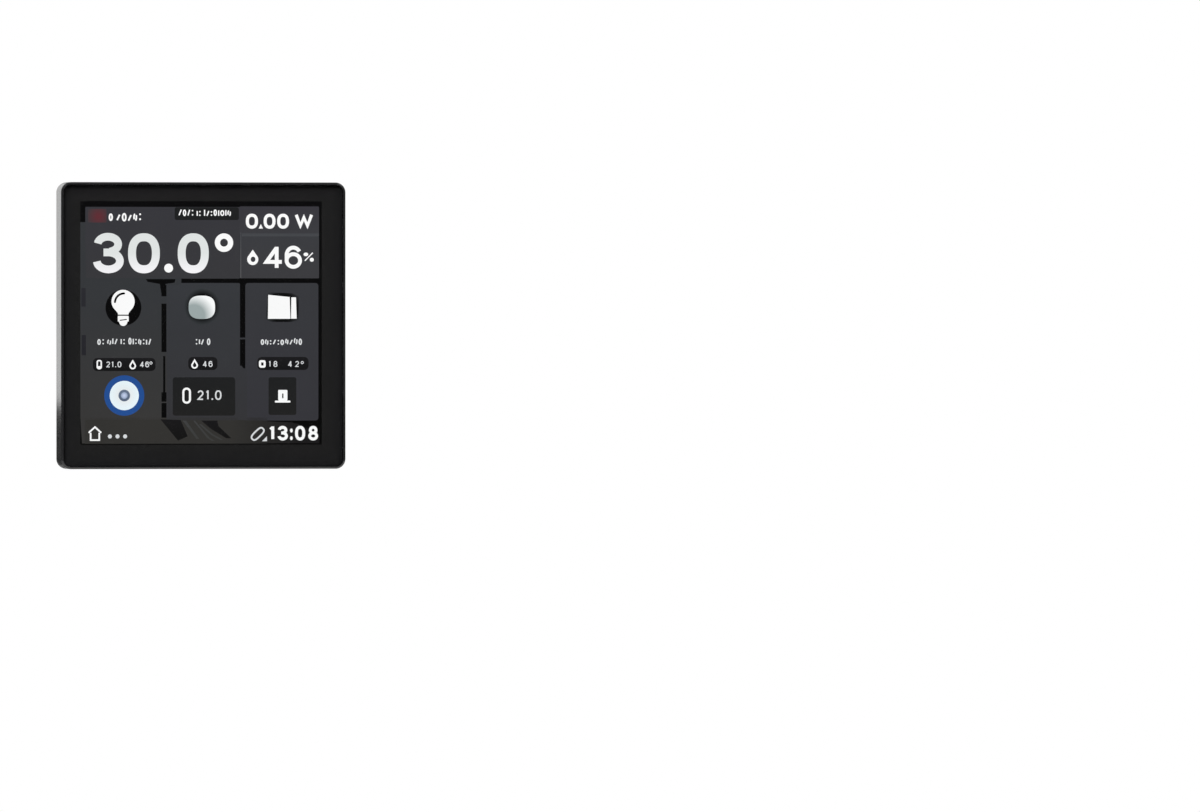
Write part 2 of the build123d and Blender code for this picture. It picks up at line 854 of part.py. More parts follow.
# Retaining clips: bent spring strips pushed over the tabs
clip_inner = plate_size / 2 - plate_thickness - clip_seat - clip_thickness / 2
clip_outer = plate_size / 2 + clip_seat + clip_thickness / 2
clip_top = -tab_height - clip_seat - clip_thickness / 2
clip_peak = plate_size / 2 + clip_bulge - clip_thickness / 2
with BuildPart() as retaining_clips:
    with BuildSketch(Plane.XY.offset(tab_z - clip_width / 2)):
        with BuildLine():
            FilletPolyline(
                (clip_inner, clip_top + clip_leg),
                (clip_inner, clip_top),
                (clip_outer, clip_top),
                (clip_peak, clip_bulge_y),
                (clip_outer, clip_top + clip_leg),
                radius=clip_thickness,
            )
        trace(line_width=clip_thickness)
    extrude(amount=clip_width)
    mirror(about=Plane.XY)
    mirror(about=Plane.YZ)
save(retaining_clips, "retaining_clips")

# Screws through the wall plate, the lid and the power board into the housing
module_screw_length = power_board_back - cap_front + module_screw_engagement
module_screws = screws(
    module_screw_spacing,
    cap_front,
    module_screw_radius,
    module_screw_length,
    module_screw_head,
    module_screw_head_height,
)
save(module_screws, "module_screws")

# Power lid: the front of the mains module, with sleeves that carry the power board
lip_inset = housing_wall + lip_gap
with BuildPart() as power_lid:
    with BuildSketch(depth(lid_back)):
        octagon()
    extrude(amount=lid_thickness)
    with BuildSketch(depth(lid_back + lid_lip)):
        octagon(lip_inset)
        octagon(lip_inset + lid_lip, mode=Mode.SUBTRACT)
    extrude(amount=lid_lip)
    with BuildSketch(depth(power_board_front)):
        with GridLocations(module_screw_spacing, module_screw_spacing, 2, 2):
            eight_sided(module_boss_half_width)
        octagon(lip_inset, mode=Mode.INTERSECT)
    extrude(amount=sleeve_height)
    with BuildSketch(depth(power_board_front)):
        with GridLocations(module_screw_spacing, module_screw_spacing, 2, 2):
            Circle(module_screw_radius + screw_gap)
        with Locations((0, header_z)):
            Rectangle(window_width, window_length)
    extrude(amount=power_board_front - cap_back, mode=Mode.SUBTRACT)
save(power_lid, "power_lid")

# Power housing: an eight-sided box, open for the terminal block at the bottom of its back
block_width = terminal_span + 2 * block_margin
block_bottom = -module_half
block_top = block_bottom + block_height
with BuildPart() as power_housing:
    with BuildSketch(depth(housing_back)):
        octagon()
    extrude(amount=housing_back - lid_back)
    rim = power_housing.faces().sort_by(Axis.Y)[-1].edges().sort_by(Axis.Z)[1:]
    chamfer(rim, housing_chamfer)
    with BuildSketch(depth(housing_floor)):
        octagon(housing_wall)
    extrude(amount=housing_floor - lid_back, mode=Mode.SUBTRACT)
    with BuildSketch(depth(housing_floor)):
        with GridLocations(module_screw_spacing, module_screw_spacing, 2, 2):
            eight_sided(module_boss_half_width)
    extrude(amount=housing_floor - power_board_back)
    with BuildSketch(depth(power_board_back)):
        with GridLocations(module_screw_spacing, module_screw_spacing, 2, 2):
            Circle(module_screw_radius + screw_gap)
    extrude(amount=-module_screw_engagement - screw_gap, mode=Mode.SUBTRACT)
    with BuildSketch(depth(housing_back)):
        with Locations((0, block_bottom)):
            Rectangle(
                block_width + 2 * block_gap,
                2 * (block_height + block_gap),
            )
    extrude(amount=block_depth + block_gap, mode=Mode.SUBTRACT)
save(power_housing, "power_housing")

# Power board
with BuildPart() as power_board:
    with BuildSketch(depth(power_board_back)):
        octagon(housing_wall + power_board_gap)
        with GridLocations(module_screw_spacing, module_screw_spacing, 2, 2):
            Circle(module_screw_radius + screw_gap, mode=Mode.SUBTRACT)
    extrude(amount=power_board_thickness)
save(power_board, "power_board")

# Socket connector that the header pins slide into
with BuildPart() as socket_connector:
    with BuildSketch(depth(power_board_front)):
        with Locations((0, header_z)):
            Rectangle(plug_width, plug_length)
    extrude(amount=power_board_front - socket_front)
    with BuildSketch(depth(socket_front)):
        with Locations((0, header_z)):
            with GridLocations(pin_pitch, pin_pitch, pin_columns, pin_rows):
                Rectangle(pin_width + 2 * pin_gap, pin_width + 2 * pin_gap)
    extrude(amount=-pin_engagement - mating_gap, mode=Mode.SUBTRACT)
save(socket_connector, "socket_connector")

# Transformer: a ferrite core with two windows, and the winding round its middle leg
core_inset = 16.0
core_drop = 14.0
core_x = core_inset - module_half
core_z = module_half - core_drop
core_width = 13.0
core_height = 12.0
core_thickness = 6.0
core_leg = 3.4
core_yoke = 2.5
core_outer_leg = 2.2
winding_gap = 0.1
winding_margin = 2.4
window_span = (core_width - core_leg) / 2 - core_outer_leg
with BuildPart() as transformer_core:
    with BuildSketch(Plane.XY.offset(core_z - core_thickness / 2)):
        with Locations((core_x, power_board_back + core_height / 2)):
            Rectangle(core_width, core_height)
            with GridLocations(core_leg + window_span, 0, 2, 1):
                Rectangle(window_span, core_height - 2 * core_yoke, mode=Mode.SUBTRACT)
    extrude(amount=core_thickness)
save(transformer_core, "transformer_core")

winding_inner_width = core_leg + 2 * winding_gap
winding_outer_width = core_leg + 2 * window_span - 2 * winding_gap
winding_height = core_height - 2 * core_yoke - 2 * winding_gap
with BuildPart() as transformer_winding:
    with BuildSketch(depth(power_board_back + core_yoke + winding_gap + winding_height)):
        with Locations((core_x, core_z)):
            RectangleRounded(
                winding_outer_width,
                core_thickness + 2 * winding_margin,
                winding_margin / 2,
            )
            Rectangle(
                winding_inner_width,
                core_thickness + 2 * winding_gap,
                mode=Mode.SUBTRACT,
            )
    extrude(amount=winding_height)
save(transformer_winding, "transformer_winding")


def round_capacitors(places, radius, height):
    """Capacitor cans standing on the power board."""
    with BuildPart() as cans:
        with BuildSketch(depth(power_board_back + height)):
            with Locations(*places):
                Circle(radius)
        extrude(amount=height)
    return cans


# Capacitors of the power supply: a tall pair level with the core and a low pair beside it
can_gap = 1.0
bulk_inset = 11.0
bulk_x = module_half - bulk_inset
bulk_radius = 4.0
bulk_height = 12.5
bulk_z = (core_z - 2 * bulk_radius - can_gap, core_z)
bulk_capacitors = round_capacitors([(bulk_x, can_z) for can_z in bulk_z], bulk_radius, bulk_height)
save(bulk_capacitors, "bulk_capacitors")
core_clearance = 2.0
output_lift = 2.0
output_radius = 2.5
output_height = 8.0
output_x = core_x + core_width / 2 + core_clearance + output_radius
output_low_z = core_z + output_lift
output_z = (output_low_z, output_low_z + 2 * output_radius + can_gap)
output_places = [(output_x, can_z) for can_z in output_z]
output_capacitors = round_capacitors(output_places, output_radius, output_height)
save(output_capacitors, "output_capacitors")

# Relay that switches the load
relay_inset = 19.0
relay_x = relay_inset - module_half
relay_z = -4.5
relay_width = 18.0
relay_thickness = 9.0
relay_height = 14.0
relay_foot = 1.2
relay_edge = 0.6
with BuildPart() as relay:
    with BuildSketch(depth(power_board_back + relay_height)):
        with Locations((relay_x, relay_z)):
            Rectangle(relay_width, relay_thickness)
    extrude(amount=relay_height)
    chamfer(relay.faces().sort_by(Axis.Y)[-1].edges(), relay_edge)
    with BuildSketch(depth(power_board_back + relay_foot)):
        with Locations((relay_x, relay_z)):
            Rectangle(relay_width + relay_edge, relay_thickness + relay_edge)
    extrude(amount=relay_foot)
save(relay, "relay")

# Input fuse: a round body with a cap on each end
fuse_inset = 16.0
fuse_rise = 7.0
fuse_x = fuse_inset - module_half
fuse_z = fuse_rise - module_half
fuse_length = 9.0
fuse_radius = 1.9
fuse_cap = 2.2
fuse_cap_length = 2.0
fuse_middle = (fuse_x, power_board_back + fuse_cap, fuse_z)
fuse_plane = Plane(origin=fuse_middle, x_dir=(0, 1, 0), z_dir=(1, 0, 0))
with BuildPart() as input_fuse:
    with BuildSketch(fuse_plane):
        Circle(fuse_radius)
    extrude(amount=fuse_length / 2, both=True)
    for end in (-1, 1):
        with BuildSketch(fuse_plane.offset(end * fuse_length / 2)):
            Circle(fuse_cap)
        extrude(amount=-end * fuse_cap_length)
save(input_fuse, "input_fuse")

# Surge varistor: a coated disc on a short foot
varistor_inset = 18.0
varistor_x = module_half - varistor_inset
varistor_z = fuse_z
varistor_radius = 3.6
varistor_thickness = 3.0
varistor_foot = 1.0
varistor_foot_width = 3.6
varistor_foot_thickness = 1.5
with BuildPart() as surge_varistor:
    disc_plane = Plane.XY.offset(varistor_z - varistor_thickness / 2)
    with BuildSketch(disc_plane):
        with Locations((varistor_x, power_board_back + varistor_foot + varistor_radius)):
            Circle(varistor_radius)
    extrude(amount=varistor_thickness)
    with BuildSketch(depth(power_board_back + varistor_radius)):
        with Locations((varistor_x, varistor_z)):
            Rectangle(varistor_foot_width, varistor_foot_thickness)
    extrude(amount=varistor_radius)
save(surge_varistor, "surge_varistor")

# Metering and supply chips on the front of the power board
power_chip_inset = 14.0
power_chip_x = module_half - power_chip_inset
power_chip_places = [(-power_chip_x, -8.0), (power_chip_x, -10.0)]
power_chip_width = 9.0
power_chip_height = 4.0
power_chip_thickness = 1.5
power_chips = chip(
    power_chip_places,
    power_chip_width,
    power_chip_height,
    power_chip_thickness,
    power_board_front,
    toward_room=True,
)
save(power_chips, "power_chips")

# Terminal block: four chambers with funnelled wire entries and captive screws
head_seat = housing_back - head_cavity
chamber_back = head_seat - shoulder
chamber_bottom = block_bottom + block_wall
chamber_top = chamber_bottom + chamber_length
screw_z = (chamber_bottom + chamber_top) / 2
cage_back = chamber_back - cage_stop_gap - cage_travel
cage_front = cage_back - cage_height
tongue_back = cage_back - cage_nut - tongue_gap
tongue_front = tongue_back - tongue_thickness
tongue_y = (tongue_front + tongue_back) / 2
entry_front = cage_front + cage_base
entry_y = (entry_front + tongue_front) / 2
entry_height = tongue_front - entry_front
funnel_angle = degrees(atan2(entry_funnel, block_wall))
with BuildPart() as terminal_block:
    with BuildSketch(depth(housing_back)):
        with Locations((0, block_bottom)):
            Rectangle(block_width, block_height, align=(Align.CENTER, Align.MIN))
    extrude(amount=block_depth)
    with BuildSketch(depth(housing_floor)):
        with Locations((0, block_top)):
            Rectangle(
                block_width - 2 * flange_inset,
                flange_thickness,
                align=(Align.CENTER, Align.MIN),
            )
    extrude(amount=flange_thickness)
    with BuildSketch(depth(chamber_back)):
        with Locations((0, screw_z)):
            with GridLocations(terminal_pitch, 0, terminal_count, 1):
                Rectangle(chamber_width, chamber_length)
    extrude(amount=chamber_back - block_front, mode=Mode.SUBTRACT)
    for terminal_x in terminal_places:
        with Locations(Plane(origin=(terminal_x, housing_back, screw_z), z_dir=(0, 1, 0))):
            CounterBoreHole(
                radius=terminal_screw_radius + shoulder_gap,
                counter_bore_radius=terminal_head_radius + head_gap,
                counter_bore_depth=head_cavity,
                depth=head_cavity + shoulder,
            )
    with BuildSketch(Plane.XY.offset(chamber_top)):
        with Locations((0, tongue_y)):
            with GridLocations(terminal_pitch, 0, terminal_count, 1):
                Rectangle(tongue_width + 2 * tongue_slot_gap, tongue_thickness + 2 * tongue_slot_gap)
    extrude(amount=block_top - chamber_top, mode=Mode.SUBTRACT)
    with BuildSketch(Plane.XY.offset(block_bottom)):
        with Locations((0, entry_y)):
            with GridLocations(terminal_pitch, 0, terminal_count, 1):
                Rectangle(entry_width + 2 * entry_funnel, entry_height + 2 * entry_funnel)
    extrude(amount=block_wall, taper=funnel_angle, mode=Mode.SUBTRACT)
save(terminal_block, "terminal_block")

# Terminal tongues: bent copper strips from the chambers down to the power board
tongue_leg_z = block_top + tongue_end_gap + tongue_thickness / 2
with BuildPart() as terminal_tongues:
    for terminal_x in terminal_places:
        with BuildSketch(Plane.YZ.offset(terminal_x - tongue_width / 2)):
            with BuildLine():
                FilletPolyline(
                    (tongue_y, chamber_bottom + tongue_end_gap),
                    (tongue_y, tongue_leg_z),
                    (power_board_back, tongue_leg_z),
                    radius=tongue_thickness,
                )
            trace(line_width=tongue_thickness)
        extrude(amount=tongue_width)
save(terminal_tongues, "terminal_tongues")

# Terminal screws, held by their shoulder, and the cages that they draw up
head_front = head_seat + running_gap
head_back = head_front + terminal_head_height
screw_tip = tongue_back + tongue_gap
for number, terminal_x in enumerate(terminal_places, start=1):
    with BuildPart() as terminal_screw:
        with BuildSketch(depth(head_back)):
            with Locations((terminal_x, screw_z)):
                Circle(terminal_head_radius)
        extrude(amount=terminal_head_height)
        with BuildSketch(depth(head_front)):
            with Locations((terminal_x, screw_z)):
                Circle(terminal_screw_radius)
        extrude(amount=head_front - screw_tip)
        with BuildSketch(depth(head_back)):
            with Locations((terminal_x, screw_z)):
                Rectangle(2 * terminal_head_radius, driver_slot_width)
        extrude(amount=driver_slot_depth, mode=Mode.SUBTRACT)
    save(terminal_screw, f"terminal_screw_{number}")

    with BuildPart() as terminal_cage:
        with BuildSketch(Plane.XY.offset(screw_z - cage_length / 2)):
            with Locations((terminal_x, cage_front)):
                Rectangle(cage_width, cage_height, align=(Align.CENTER, Align.MIN))
            with Locations((terminal_x, entry_front)):
                Rectangle(
                    cage_width - 2 * cage_side,
                    cage_height - cage_base - cage_nut,
                    align=(Align.CENTER, Align.MIN),
                    mode=Mode.SUBTRACT,
                )
        extrude(amount=cage_length)
        with BuildSketch(depth(cage_back)):
            with Locations((terminal_x, screw_z)):
                Circle(terminal_screw_radius + running_gap)
        extrude(amount=cage_nut, mode=Mode.SUBTRACT)
    save(terminal_cage, f"terminal_cage_{number}")
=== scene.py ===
import math
import random

import bmesh
import bpy
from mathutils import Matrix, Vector

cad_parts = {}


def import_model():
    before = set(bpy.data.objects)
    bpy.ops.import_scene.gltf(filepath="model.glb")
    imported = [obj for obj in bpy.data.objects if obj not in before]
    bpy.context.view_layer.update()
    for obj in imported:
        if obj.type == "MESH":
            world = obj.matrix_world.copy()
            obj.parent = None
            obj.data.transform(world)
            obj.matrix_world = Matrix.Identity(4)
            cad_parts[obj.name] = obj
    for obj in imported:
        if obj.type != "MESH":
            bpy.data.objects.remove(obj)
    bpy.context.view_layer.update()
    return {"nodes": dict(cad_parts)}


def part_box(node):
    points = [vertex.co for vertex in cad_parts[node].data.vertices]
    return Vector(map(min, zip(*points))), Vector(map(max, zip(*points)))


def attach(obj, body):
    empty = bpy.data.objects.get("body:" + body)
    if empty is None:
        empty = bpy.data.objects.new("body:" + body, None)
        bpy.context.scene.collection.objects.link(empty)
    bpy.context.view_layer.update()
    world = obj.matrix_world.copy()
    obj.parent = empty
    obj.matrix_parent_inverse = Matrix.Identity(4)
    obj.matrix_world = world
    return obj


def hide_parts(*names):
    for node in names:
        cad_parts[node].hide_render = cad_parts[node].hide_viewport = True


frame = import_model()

# Looks of a smart home touch panel: a lit screen behind black glass, a slim frame, and
# the steel plate and mains module behind it. Outlines are in millimetres, x to the right
# and z up: those of the lit picture start at the screen's middle, and those of the border
# print at the middle of the front. Other lengths are in metres where nothing else is said,
# and angles are in degrees.
MM = 0.001
UNIT = "display_unit"
BLACK = (0.0, 0.0, 0.0, 1.0)
WHITE = (1.0, 1.0, 1.0, 1.0)

# Places taken from the frame, and the unlit border of the screen in millimetres
glass_low, glass_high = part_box("cover_glass")
stack_low, stack_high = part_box("optical_adhesive")
SCREEN_BORDER = 1.8
SCREEN_SIZE = (stack_high.x - stack_low.x) / MM - 2 * SCREEN_BORDER
HALF = SCREEN_SIZE / 2
SCREEN_MIDDLE = (stack_low + stack_high) / 2
PIXELS_ACROSS = 480
PIXEL_PITCH = SCREEN_SIZE * MM / PIXELS_ACROSS

# Layers of the lit picture from the back to the front, six of the eight that fit in the stack
LAYERS = 8
LAYER_PITCH = (stack_high.y - stack_low.y) / LAYERS
LAYER_THICKNESS = LAYER_PITCH / 2
GROUND, TILE, FIELD, ICON, READING, MARK = range(6)


def srgb(red, green, blue):
    """A linear colour from 0 to 255 values as seen on a monitor."""
    linear = []
    for value in (red, green, blue):
        share = value / 255
        linear.append(share / 12.92 if share <= 0.04045 else ((share + 0.055) / 1.055) ** 2.4)
    return (*linear, 1.0)


# Node helpers
def start_material(name):
    """A new material, its tree, its output and coordinates in metres in the object's own space."""
    material = bpy.data.materials.new(name)
    material.use_nodes = True
    tree = material.node_tree
    tree.nodes.clear()
    output = tree.nodes.new("ShaderNodeOutputMaterial")
    vector = tree.nodes.new("ShaderNodeTexCoord").outputs["Object"]
    return material, tree, output, vector


def add_node(tree, kind, **values):
    """A node with its properties and input defaults set by name."""
    node = tree.nodes.new(kind)
    for key, value in values.items():
        if hasattr(node, key):
            setattr(node, key, value)
        else:
            node.inputs[key.replace("_", " ")].default_value = value
    return node


def add_surface(tree, output, **values):
    """A surface shader joined to the output, with its inputs set by name."""
    shader = add_node(tree, "ShaderNodeBsdfPrincipled", **values)
    tree.links.new(shader.outputs["BSDF"], output.inputs["Surface"])
    return shader


def add_relief(tree, shader, height, strength, distance):
    """Relief of a surface that follows a height from 0 to 1 over a distance in metres."""
    relief = add_node(tree, "ShaderNodeBump", Strength=strength, Distance=distance)
    tree.links.new(height, relief.inputs["Height"])
    tree.links.new(relief.outputs["Normal"], shader.inputs["Normal"])


def noise(tree, vector, scale, detail=3.0, roughness=0.5):
    """A noise texture in object space, with features about 1/scale metres across."""
    texture = add_node(tree, "ShaderNodeTexNoise", Scale=scale, Detail=detail, Roughness=roughness)
    tree.links.new(vector, texture.inputs["Vector"])
    return texture.outputs["Fac"]


def map_range(tree, value, low, high, start=0.3, end=0.7):
    """Value from start to end, spread over low to high."""
    node = add_node(tree, "ShaderNodeMapRange", From_Min=start, From_Max=end, To_Min=low, To_Max=high)
    tree.links.new(value, node.inputs["Value"])
    return node.outputs["Result"]


def mix_colors(tree, factor, first, second):
    """A colour between two, by a factor."""
    node = tree.nodes.new("ShaderNodeMix")
    node.data_type = "RGBA"
    tree.links.new(factor, node.inputs["Factor"])
    for socket, color in (("A", first), ("B", second)):
        target = [item for item in node.inputs if item.name == socket and item.type == "RGBA"][0]
        if isinstance(color, tuple):
            target.default_value = color
        else:
            tree.links.new(color, target)
    return [item for item in node.outputs if item.type == "RGBA"][0]


def turn_to_front(tree, vector):
    """Coordinates turned so that the first two lie in the plane of the front."""
    turned = add_node(tree, "ShaderNodeMapping", Rotation=(math.radians(90), 0, 0))
    tree.links.new(vector, turned.inputs["Vector"])
    return turned.outputs["Vector"]


def shade(color, factor):
    """A colour made darker or lighter."""
    return tuple(min(1.0, channel * factor) for channel in color[:3]) + (1.0,)


# Materials of the solid parts
GRAIN_RELIEF = 0.00005
THIN_RELIEF = 0.00004
WINDING_RELIEF = 0.0001
STREAK_SQUEEZE = (1.0, 1.0, 12.0)
GLOSS_SPREAD = (0.8, 1.2)
METAL_GLOSS_SPREAD = (0.75, 1.3)


def add_uneven_gloss(tree, shader, pattern, roughness, spread):
    """Roughness that a pattern moves over a spread, given as shares of its usual value."""
    gloss = map_range(tree, pattern, low=roughness * spread[0], high=roughness * spread[1])
    tree.links.new(gloss, shader.inputs["Roughness"])


def solid_material(name, color, roughness, grain=3000.0, bump=0.15, variation=0.15, cloud=90.0,
                   coat=0.0, specular=0.5):
    """Moulded or coated material: cloudy colour, uneven gloss and a fine grain."""
    material, tree, output, vector = start_material(name)
    cloudy = noise(tree, vector, cloud, detail=4.0)
    fine = noise(tree, vector, grain, detail=2.0)
    shader = add_surface(tree, output, Coat_Weight=coat, Specular_IOR_Level=specular)
    spread = map_range(tree, cloudy, low=0.0, high=1.0)
    tint = mix_colors(tree, spread, shade(color, 1 - variation), shade(color, 1 + variation))
    tree.links.new(tint, shader.inputs["Base Color"])
    add_uneven_gloss(tree, shader, fine, roughness, GLOSS_SPREAD)
    add_relief(tree, shader, fine, strength=bump, distance=GRAIN_RELIEF)
    return material


def sheet_metal(name, color, roughness, spangle=350.0, contrast=0.12):
    """Plated or rolled sheet: faint crystals, rolling streaks and small scuffs."""
    material, tree, output, vector = start_material(name)
    crystals = add_node(tree, "ShaderNodeTexVoronoi", Scale=spangle)
    tree.links.new(vector, crystals.inputs["Vector"])
    squeezed = add_node(tree, "ShaderNodeMapping", Scale=STREAK_SQUEEZE)
    tree.links.new(vector, squeezed.inputs["Vector"])
    streaks = noise(tree, squeezed.outputs["Vector"], scale=900.0, detail=5.0, roughness=0.7)
    scuffs = noise(tree, vector, scale=160.0, detail=6.0, roughness=0.65)
    shader = add_surface(tree, output, Metallic=1.0)
    by_crystal = map_range(tree, crystals.outputs["Color"], low=0.0, high=1.0, start=0.0, end=1.0)
    tint = mix_colors(tree, by_crystal, shade(color, 1 - contrast), shade(color, 1 + contrast))
    worn = map_range(tree, scuffs, low=0.0, high=0.35, start=0.5, end=0.8)
    tree.links.new(mix_colors(tree, worn, tint, shade(color, 0.6)), shader.inputs["Base Color"])
    add_uneven_gloss(tree, shader, streaks, roughness, METAL_GLOSS_SPREAD)
    add_relief(tree, shader, streaks, strength=0.1, distance=THIN_RELIEF)
    return material


def board_material(name, mask, copper):
    """Circuit board: lacquer over copper tracks in a blocky pattern."""
    material, tree, output, vector = start_material(name)
    tracks = add_node(tree, "ShaderNodeTexBrick", Scale=110.0, Mortar_Size=0.06)
    tree.links.new(turn_to_front(tree, vector), tracks.inputs["Vector"])
    patches = noise(tree, vector, scale=260.0, detail=2.0)
    shader = add_surface(tree, output, Roughness=0.32, Coat_Weight=0.3)
    laid = mix_colors(tree, tracks.outputs["Fac"], mask, copper)
    tint = mix_colors(tree, map_range(tree, patches, low=0.0, high=0.5), laid, shade(mask, 0.7))
    tree.links.new(tint, shader.inputs["Base Color"])
    add_relief(tree, shader, tracks.outputs["Fac"], strength=0.3, distance=THIN_RELIEF)
    return material


def wound_material(name, color):
    """A winding with bands across Y, about 2.5 mm apart."""
    material, tree, output, vector = start_material(name)
    bands = add_node(tree, "ShaderNodeTexWave", Scale=125.0, Distortion=0.4, bands_direction="Y")
    tree.links.new(vector, bands.inputs["Vector"])
    shader = add_surface(tree, output, Roughness=0.35)
    tint = mix_colors(tree, bands.outputs["Fac"], shade(color, 0.5), shade(color, 1.2))
    tree.links.new(tint, shader.inputs["Base Color"])
    add_relief(tree, shader, bands.outputs["Fac"], strength=0.4, distance=WINDING_RELIEF)
    return material


def clear_glass(name):
    """Clear glass: see-through, with a sharp reflection that grows at a glancing angle."""
    head_on = 0.02
    glancing = 0.4
    steepness = 5.0
    wiped_clean = 0.01
    smeared = 0.03
    material, tree, output, vector = start_material(name)
    wiped = noise(tree, vector, scale=60.0, detail=5.0, roughness=0.6)
    clear = add_node(tree, "ShaderNodeBsdfTransparent")
    mirror = add_node(tree, "ShaderNodeBsdfGlossy")
    blur = map_range(tree, wiped, low=wiped_clean, high=smeared)
    tree.links.new(blur, mirror.inputs["Roughness"])
    angle = add_node(tree, "ShaderNodeLayerWeight", Blend=0.5)
    steep = add_node(tree, "ShaderNodeMath", operation="POWER")
    steep.inputs[1].default_value = steepness
    tree.links.new(angle.outputs["Facing"], steep.inputs[0])
    mixed = tree.nodes.new("ShaderNodeMixShader")
    share = map_range(tree, steep.outputs["Value"], head_on, glancing, start=0.0, end=1.0)
    tree.links.new(share, mixed.inputs["Fac"])
    tree.links.new(clear.outputs["BSDF"], mixed.inputs[1])
    tree.links.new(mirror.outputs["BSDF"], mixed.inputs[2])
    tree.links.new(mixed.outputs["Shader"], output.inputs["Surface"])
    return material


def ink_material_with_painted_shade(name, inner, outer):
    """Black border print with a faint speckle, a little lighter towards the screen and darker towards
    the rim as painted shade.
    """
    material, tree, output, vector = start_material(name)
    parts = tree.nodes.new("ShaderNodeSeparateXYZ")
    tree.links.new(vector, parts.inputs["Vector"])
    farther = add_node(tree, "ShaderNodeMath", operation="MAXIMUM")
    for index, axis in enumerate(("X", "Z")):
        size = add_node(tree, "ShaderNodeMath", operation="ABSOLUTE")
        tree.links.new(parts.outputs[axis], size.inputs[0])
        tree.links.new(size.outputs["Value"], farther.inputs[index])
    # Painted shade: the print's colour darkens from the edge of the window out to the rim of the glass.
    painted_rim_shade = map_range(tree, farther.outputs["Value"], 0.0, 1.0, start=HALF * MM, end=glass_high.x)
    speckle = noise(tree, vector, scale=2500.0)
    shader = add_surface(tree, output, Specular_IOR_Level=0.0)
    tree.links.new(mix_colors(tree, painted_rim_shade, inner, outer), shader.inputs["Base Color"])
    tree.links.new(map_range(tree, speckle, low=0.5, high=0.7), shader.inputs["Roughness"])
    return material


def run_along(tree, vector, axis, start, end):
    """How far a place on the screen lies from start to end along an axis, from 0 to 1."""
    parts = tree.nodes.new("ShaderNodeSeparateXYZ")
    tree.links.new(vector, parts.inputs["Vector"])
    middle = SCREEN_MIDDLE.z if axis == "Z" else SCREEN_MIDDLE.x
    return map_range(tree, parts.outputs[axis], 0.0, 1.0, middle + start * MM, middle + end * MM)


def run_outward(tree, vector, centre, start, end):
    """How far a place on the screen lies from a point, from 0 at start to 1 at end."""
    point = (SCREEN_MIDDLE.x + centre[0] * MM, SCREEN_MIDDLE.y, SCREEN_MIDDLE.z + centre[1] * MM)
    away = add_node(tree, "ShaderNodeVectorMath", operation="DISTANCE")
    away.inputs[1].default_value = point
    tree.links.new(vector, away.inputs[0])
    return map_range(tree, away.outputs["Value"], 0.0, 1.0, start * MM, end * MM)


def lit_material(name, low_color, high_color, start=-HALF, end=HALF, axis="Z", centre=None, grain=0.05):
    """Part of the lit picture: a colour that runs from one to another along an axis or out
    from a centre, with the faint grid of the screen's pixels and a slow drift in brightness."""
    unlit = (0.001, 0.001, 0.001, 1.0)
    material, tree, output, vector = start_material(name)
    if centre:
        run = run_outward(tree, vector, centre, start, end)
    else:
        run = run_along(tree, vector, axis, start, end)
    color = mix_colors(tree, run, low_color, high_color)
    pixels = add_node(tree, "ShaderNodeTexBrick", Scale=1 / PIXEL_PITCH, Mortar_Size=0.08,
                      Brick_Width=1.0, Row_Height=1.0, offset=0.0)
    tree.links.new(turn_to_front(tree, vector), pixels.inputs["Vector"])
    drift = map_range(tree, noise(tree, vector, scale=70.0, detail=2.0), 0.0, grain)
    grid = map_range(tree, pixels.outputs["Fac"], 0.0, grain, start=0.0, end=1.0)
    gridded = mix_colors(tree, grid, mix_colors(tree, drift, color, BLACK), BLACK)
    shader = add_surface(tree, output, Roughness=0.6, Base_Color=unlit, Specular_IOR_Level=0.0,
                         Emission_Strength=1.0 + grain)
    tree.links.new(gridded, shader.inputs["Emission Color"])
    return material


# Flat outlines: each is a list of faces, and a face is a list of (x, z) points
def arc(middle, radius_x, radius_z, start, end, steps=24):
    """Points along part of an ellipse, with angles in degrees counted from the right."""
    points = []
    for step in range(steps + 1):
        angle = math.radians(start + (end - start) * step / steps)
        points.append((middle[0] + radius_x * math.cos(angle), middle[1] + radius_z * math.sin(angle)))
    return points


def oval(middle, radius_x, radius_z, power=2.0, steps=64):
    """Points round an ellipse, or with a higher power a rounder-cornered box."""
    points = []
    for step in range(steps):
        angle = 2 * math.pi * step / steps
        across, up = math.cos(angle), math.sin(angle)
        x = math.copysign(abs(across) ** (2 / power), across)
        z = math.copysign(abs(up) ** (2 / power), up)
        points.append((middle[0] + radius_x * x, middle[1] + radius_z * z))
    return points


def rounded_box(left, bottom, right, top, radius):
    """Points round a box with rounded corners."""
    points = []
    corners = ((right, top, 0), (left, top, 90), (left, bottom, 180), (right, bottom, 270))
    for x, z, start in corners:
        inner_x = x - math.copysign(radius, x - (left + right) / 2)
        inner_z = z - math.copysign(radius, z - (bottom + top) / 2)
        points += arc((inner_x, inner_z), radius, radius, start, start + 90, steps=6)
    return points


def stroke(points, width, closed=False, round_ends=False):
    """Faces of a pen stroke along points, with mitred corners that stay near the line."""
    least_spread = 0.45
    count = len(points)
    pairs = []
    for index, point in enumerate(points):
        before = points[index - 1] if closed or index else None
        after = points[(index + 1) % count] if closed or index < count - 1 else None
        ways = []
        for first, second in ((before, point), (point, after)):
            if first and second:
                ways.append((Vector(second) - Vector(first)).normalized())
        way = sum(ways[1:], ways[0]).normalized()
        normal = Vector((-way.y, way.x))
        spread = max(least_spread, abs(way.dot(ways[0])))
        side = normal * (width / 2 / spread)
        pairs.append((Vector(point) + side, Vector(point) - side))
    faces = []
    for index in range(count if closed else count - 1):
        left, right = pairs[index]
        next_left, next_right = pairs[(index + 1) % count]
        faces.append([tuple(left), tuple(next_left), tuple(next_right), tuple(right)])
    if round_ends:
        for end in (points[0], points[-1]):
            faces.append(oval(end, width / 2, width / 2, steps=20))
    return faces


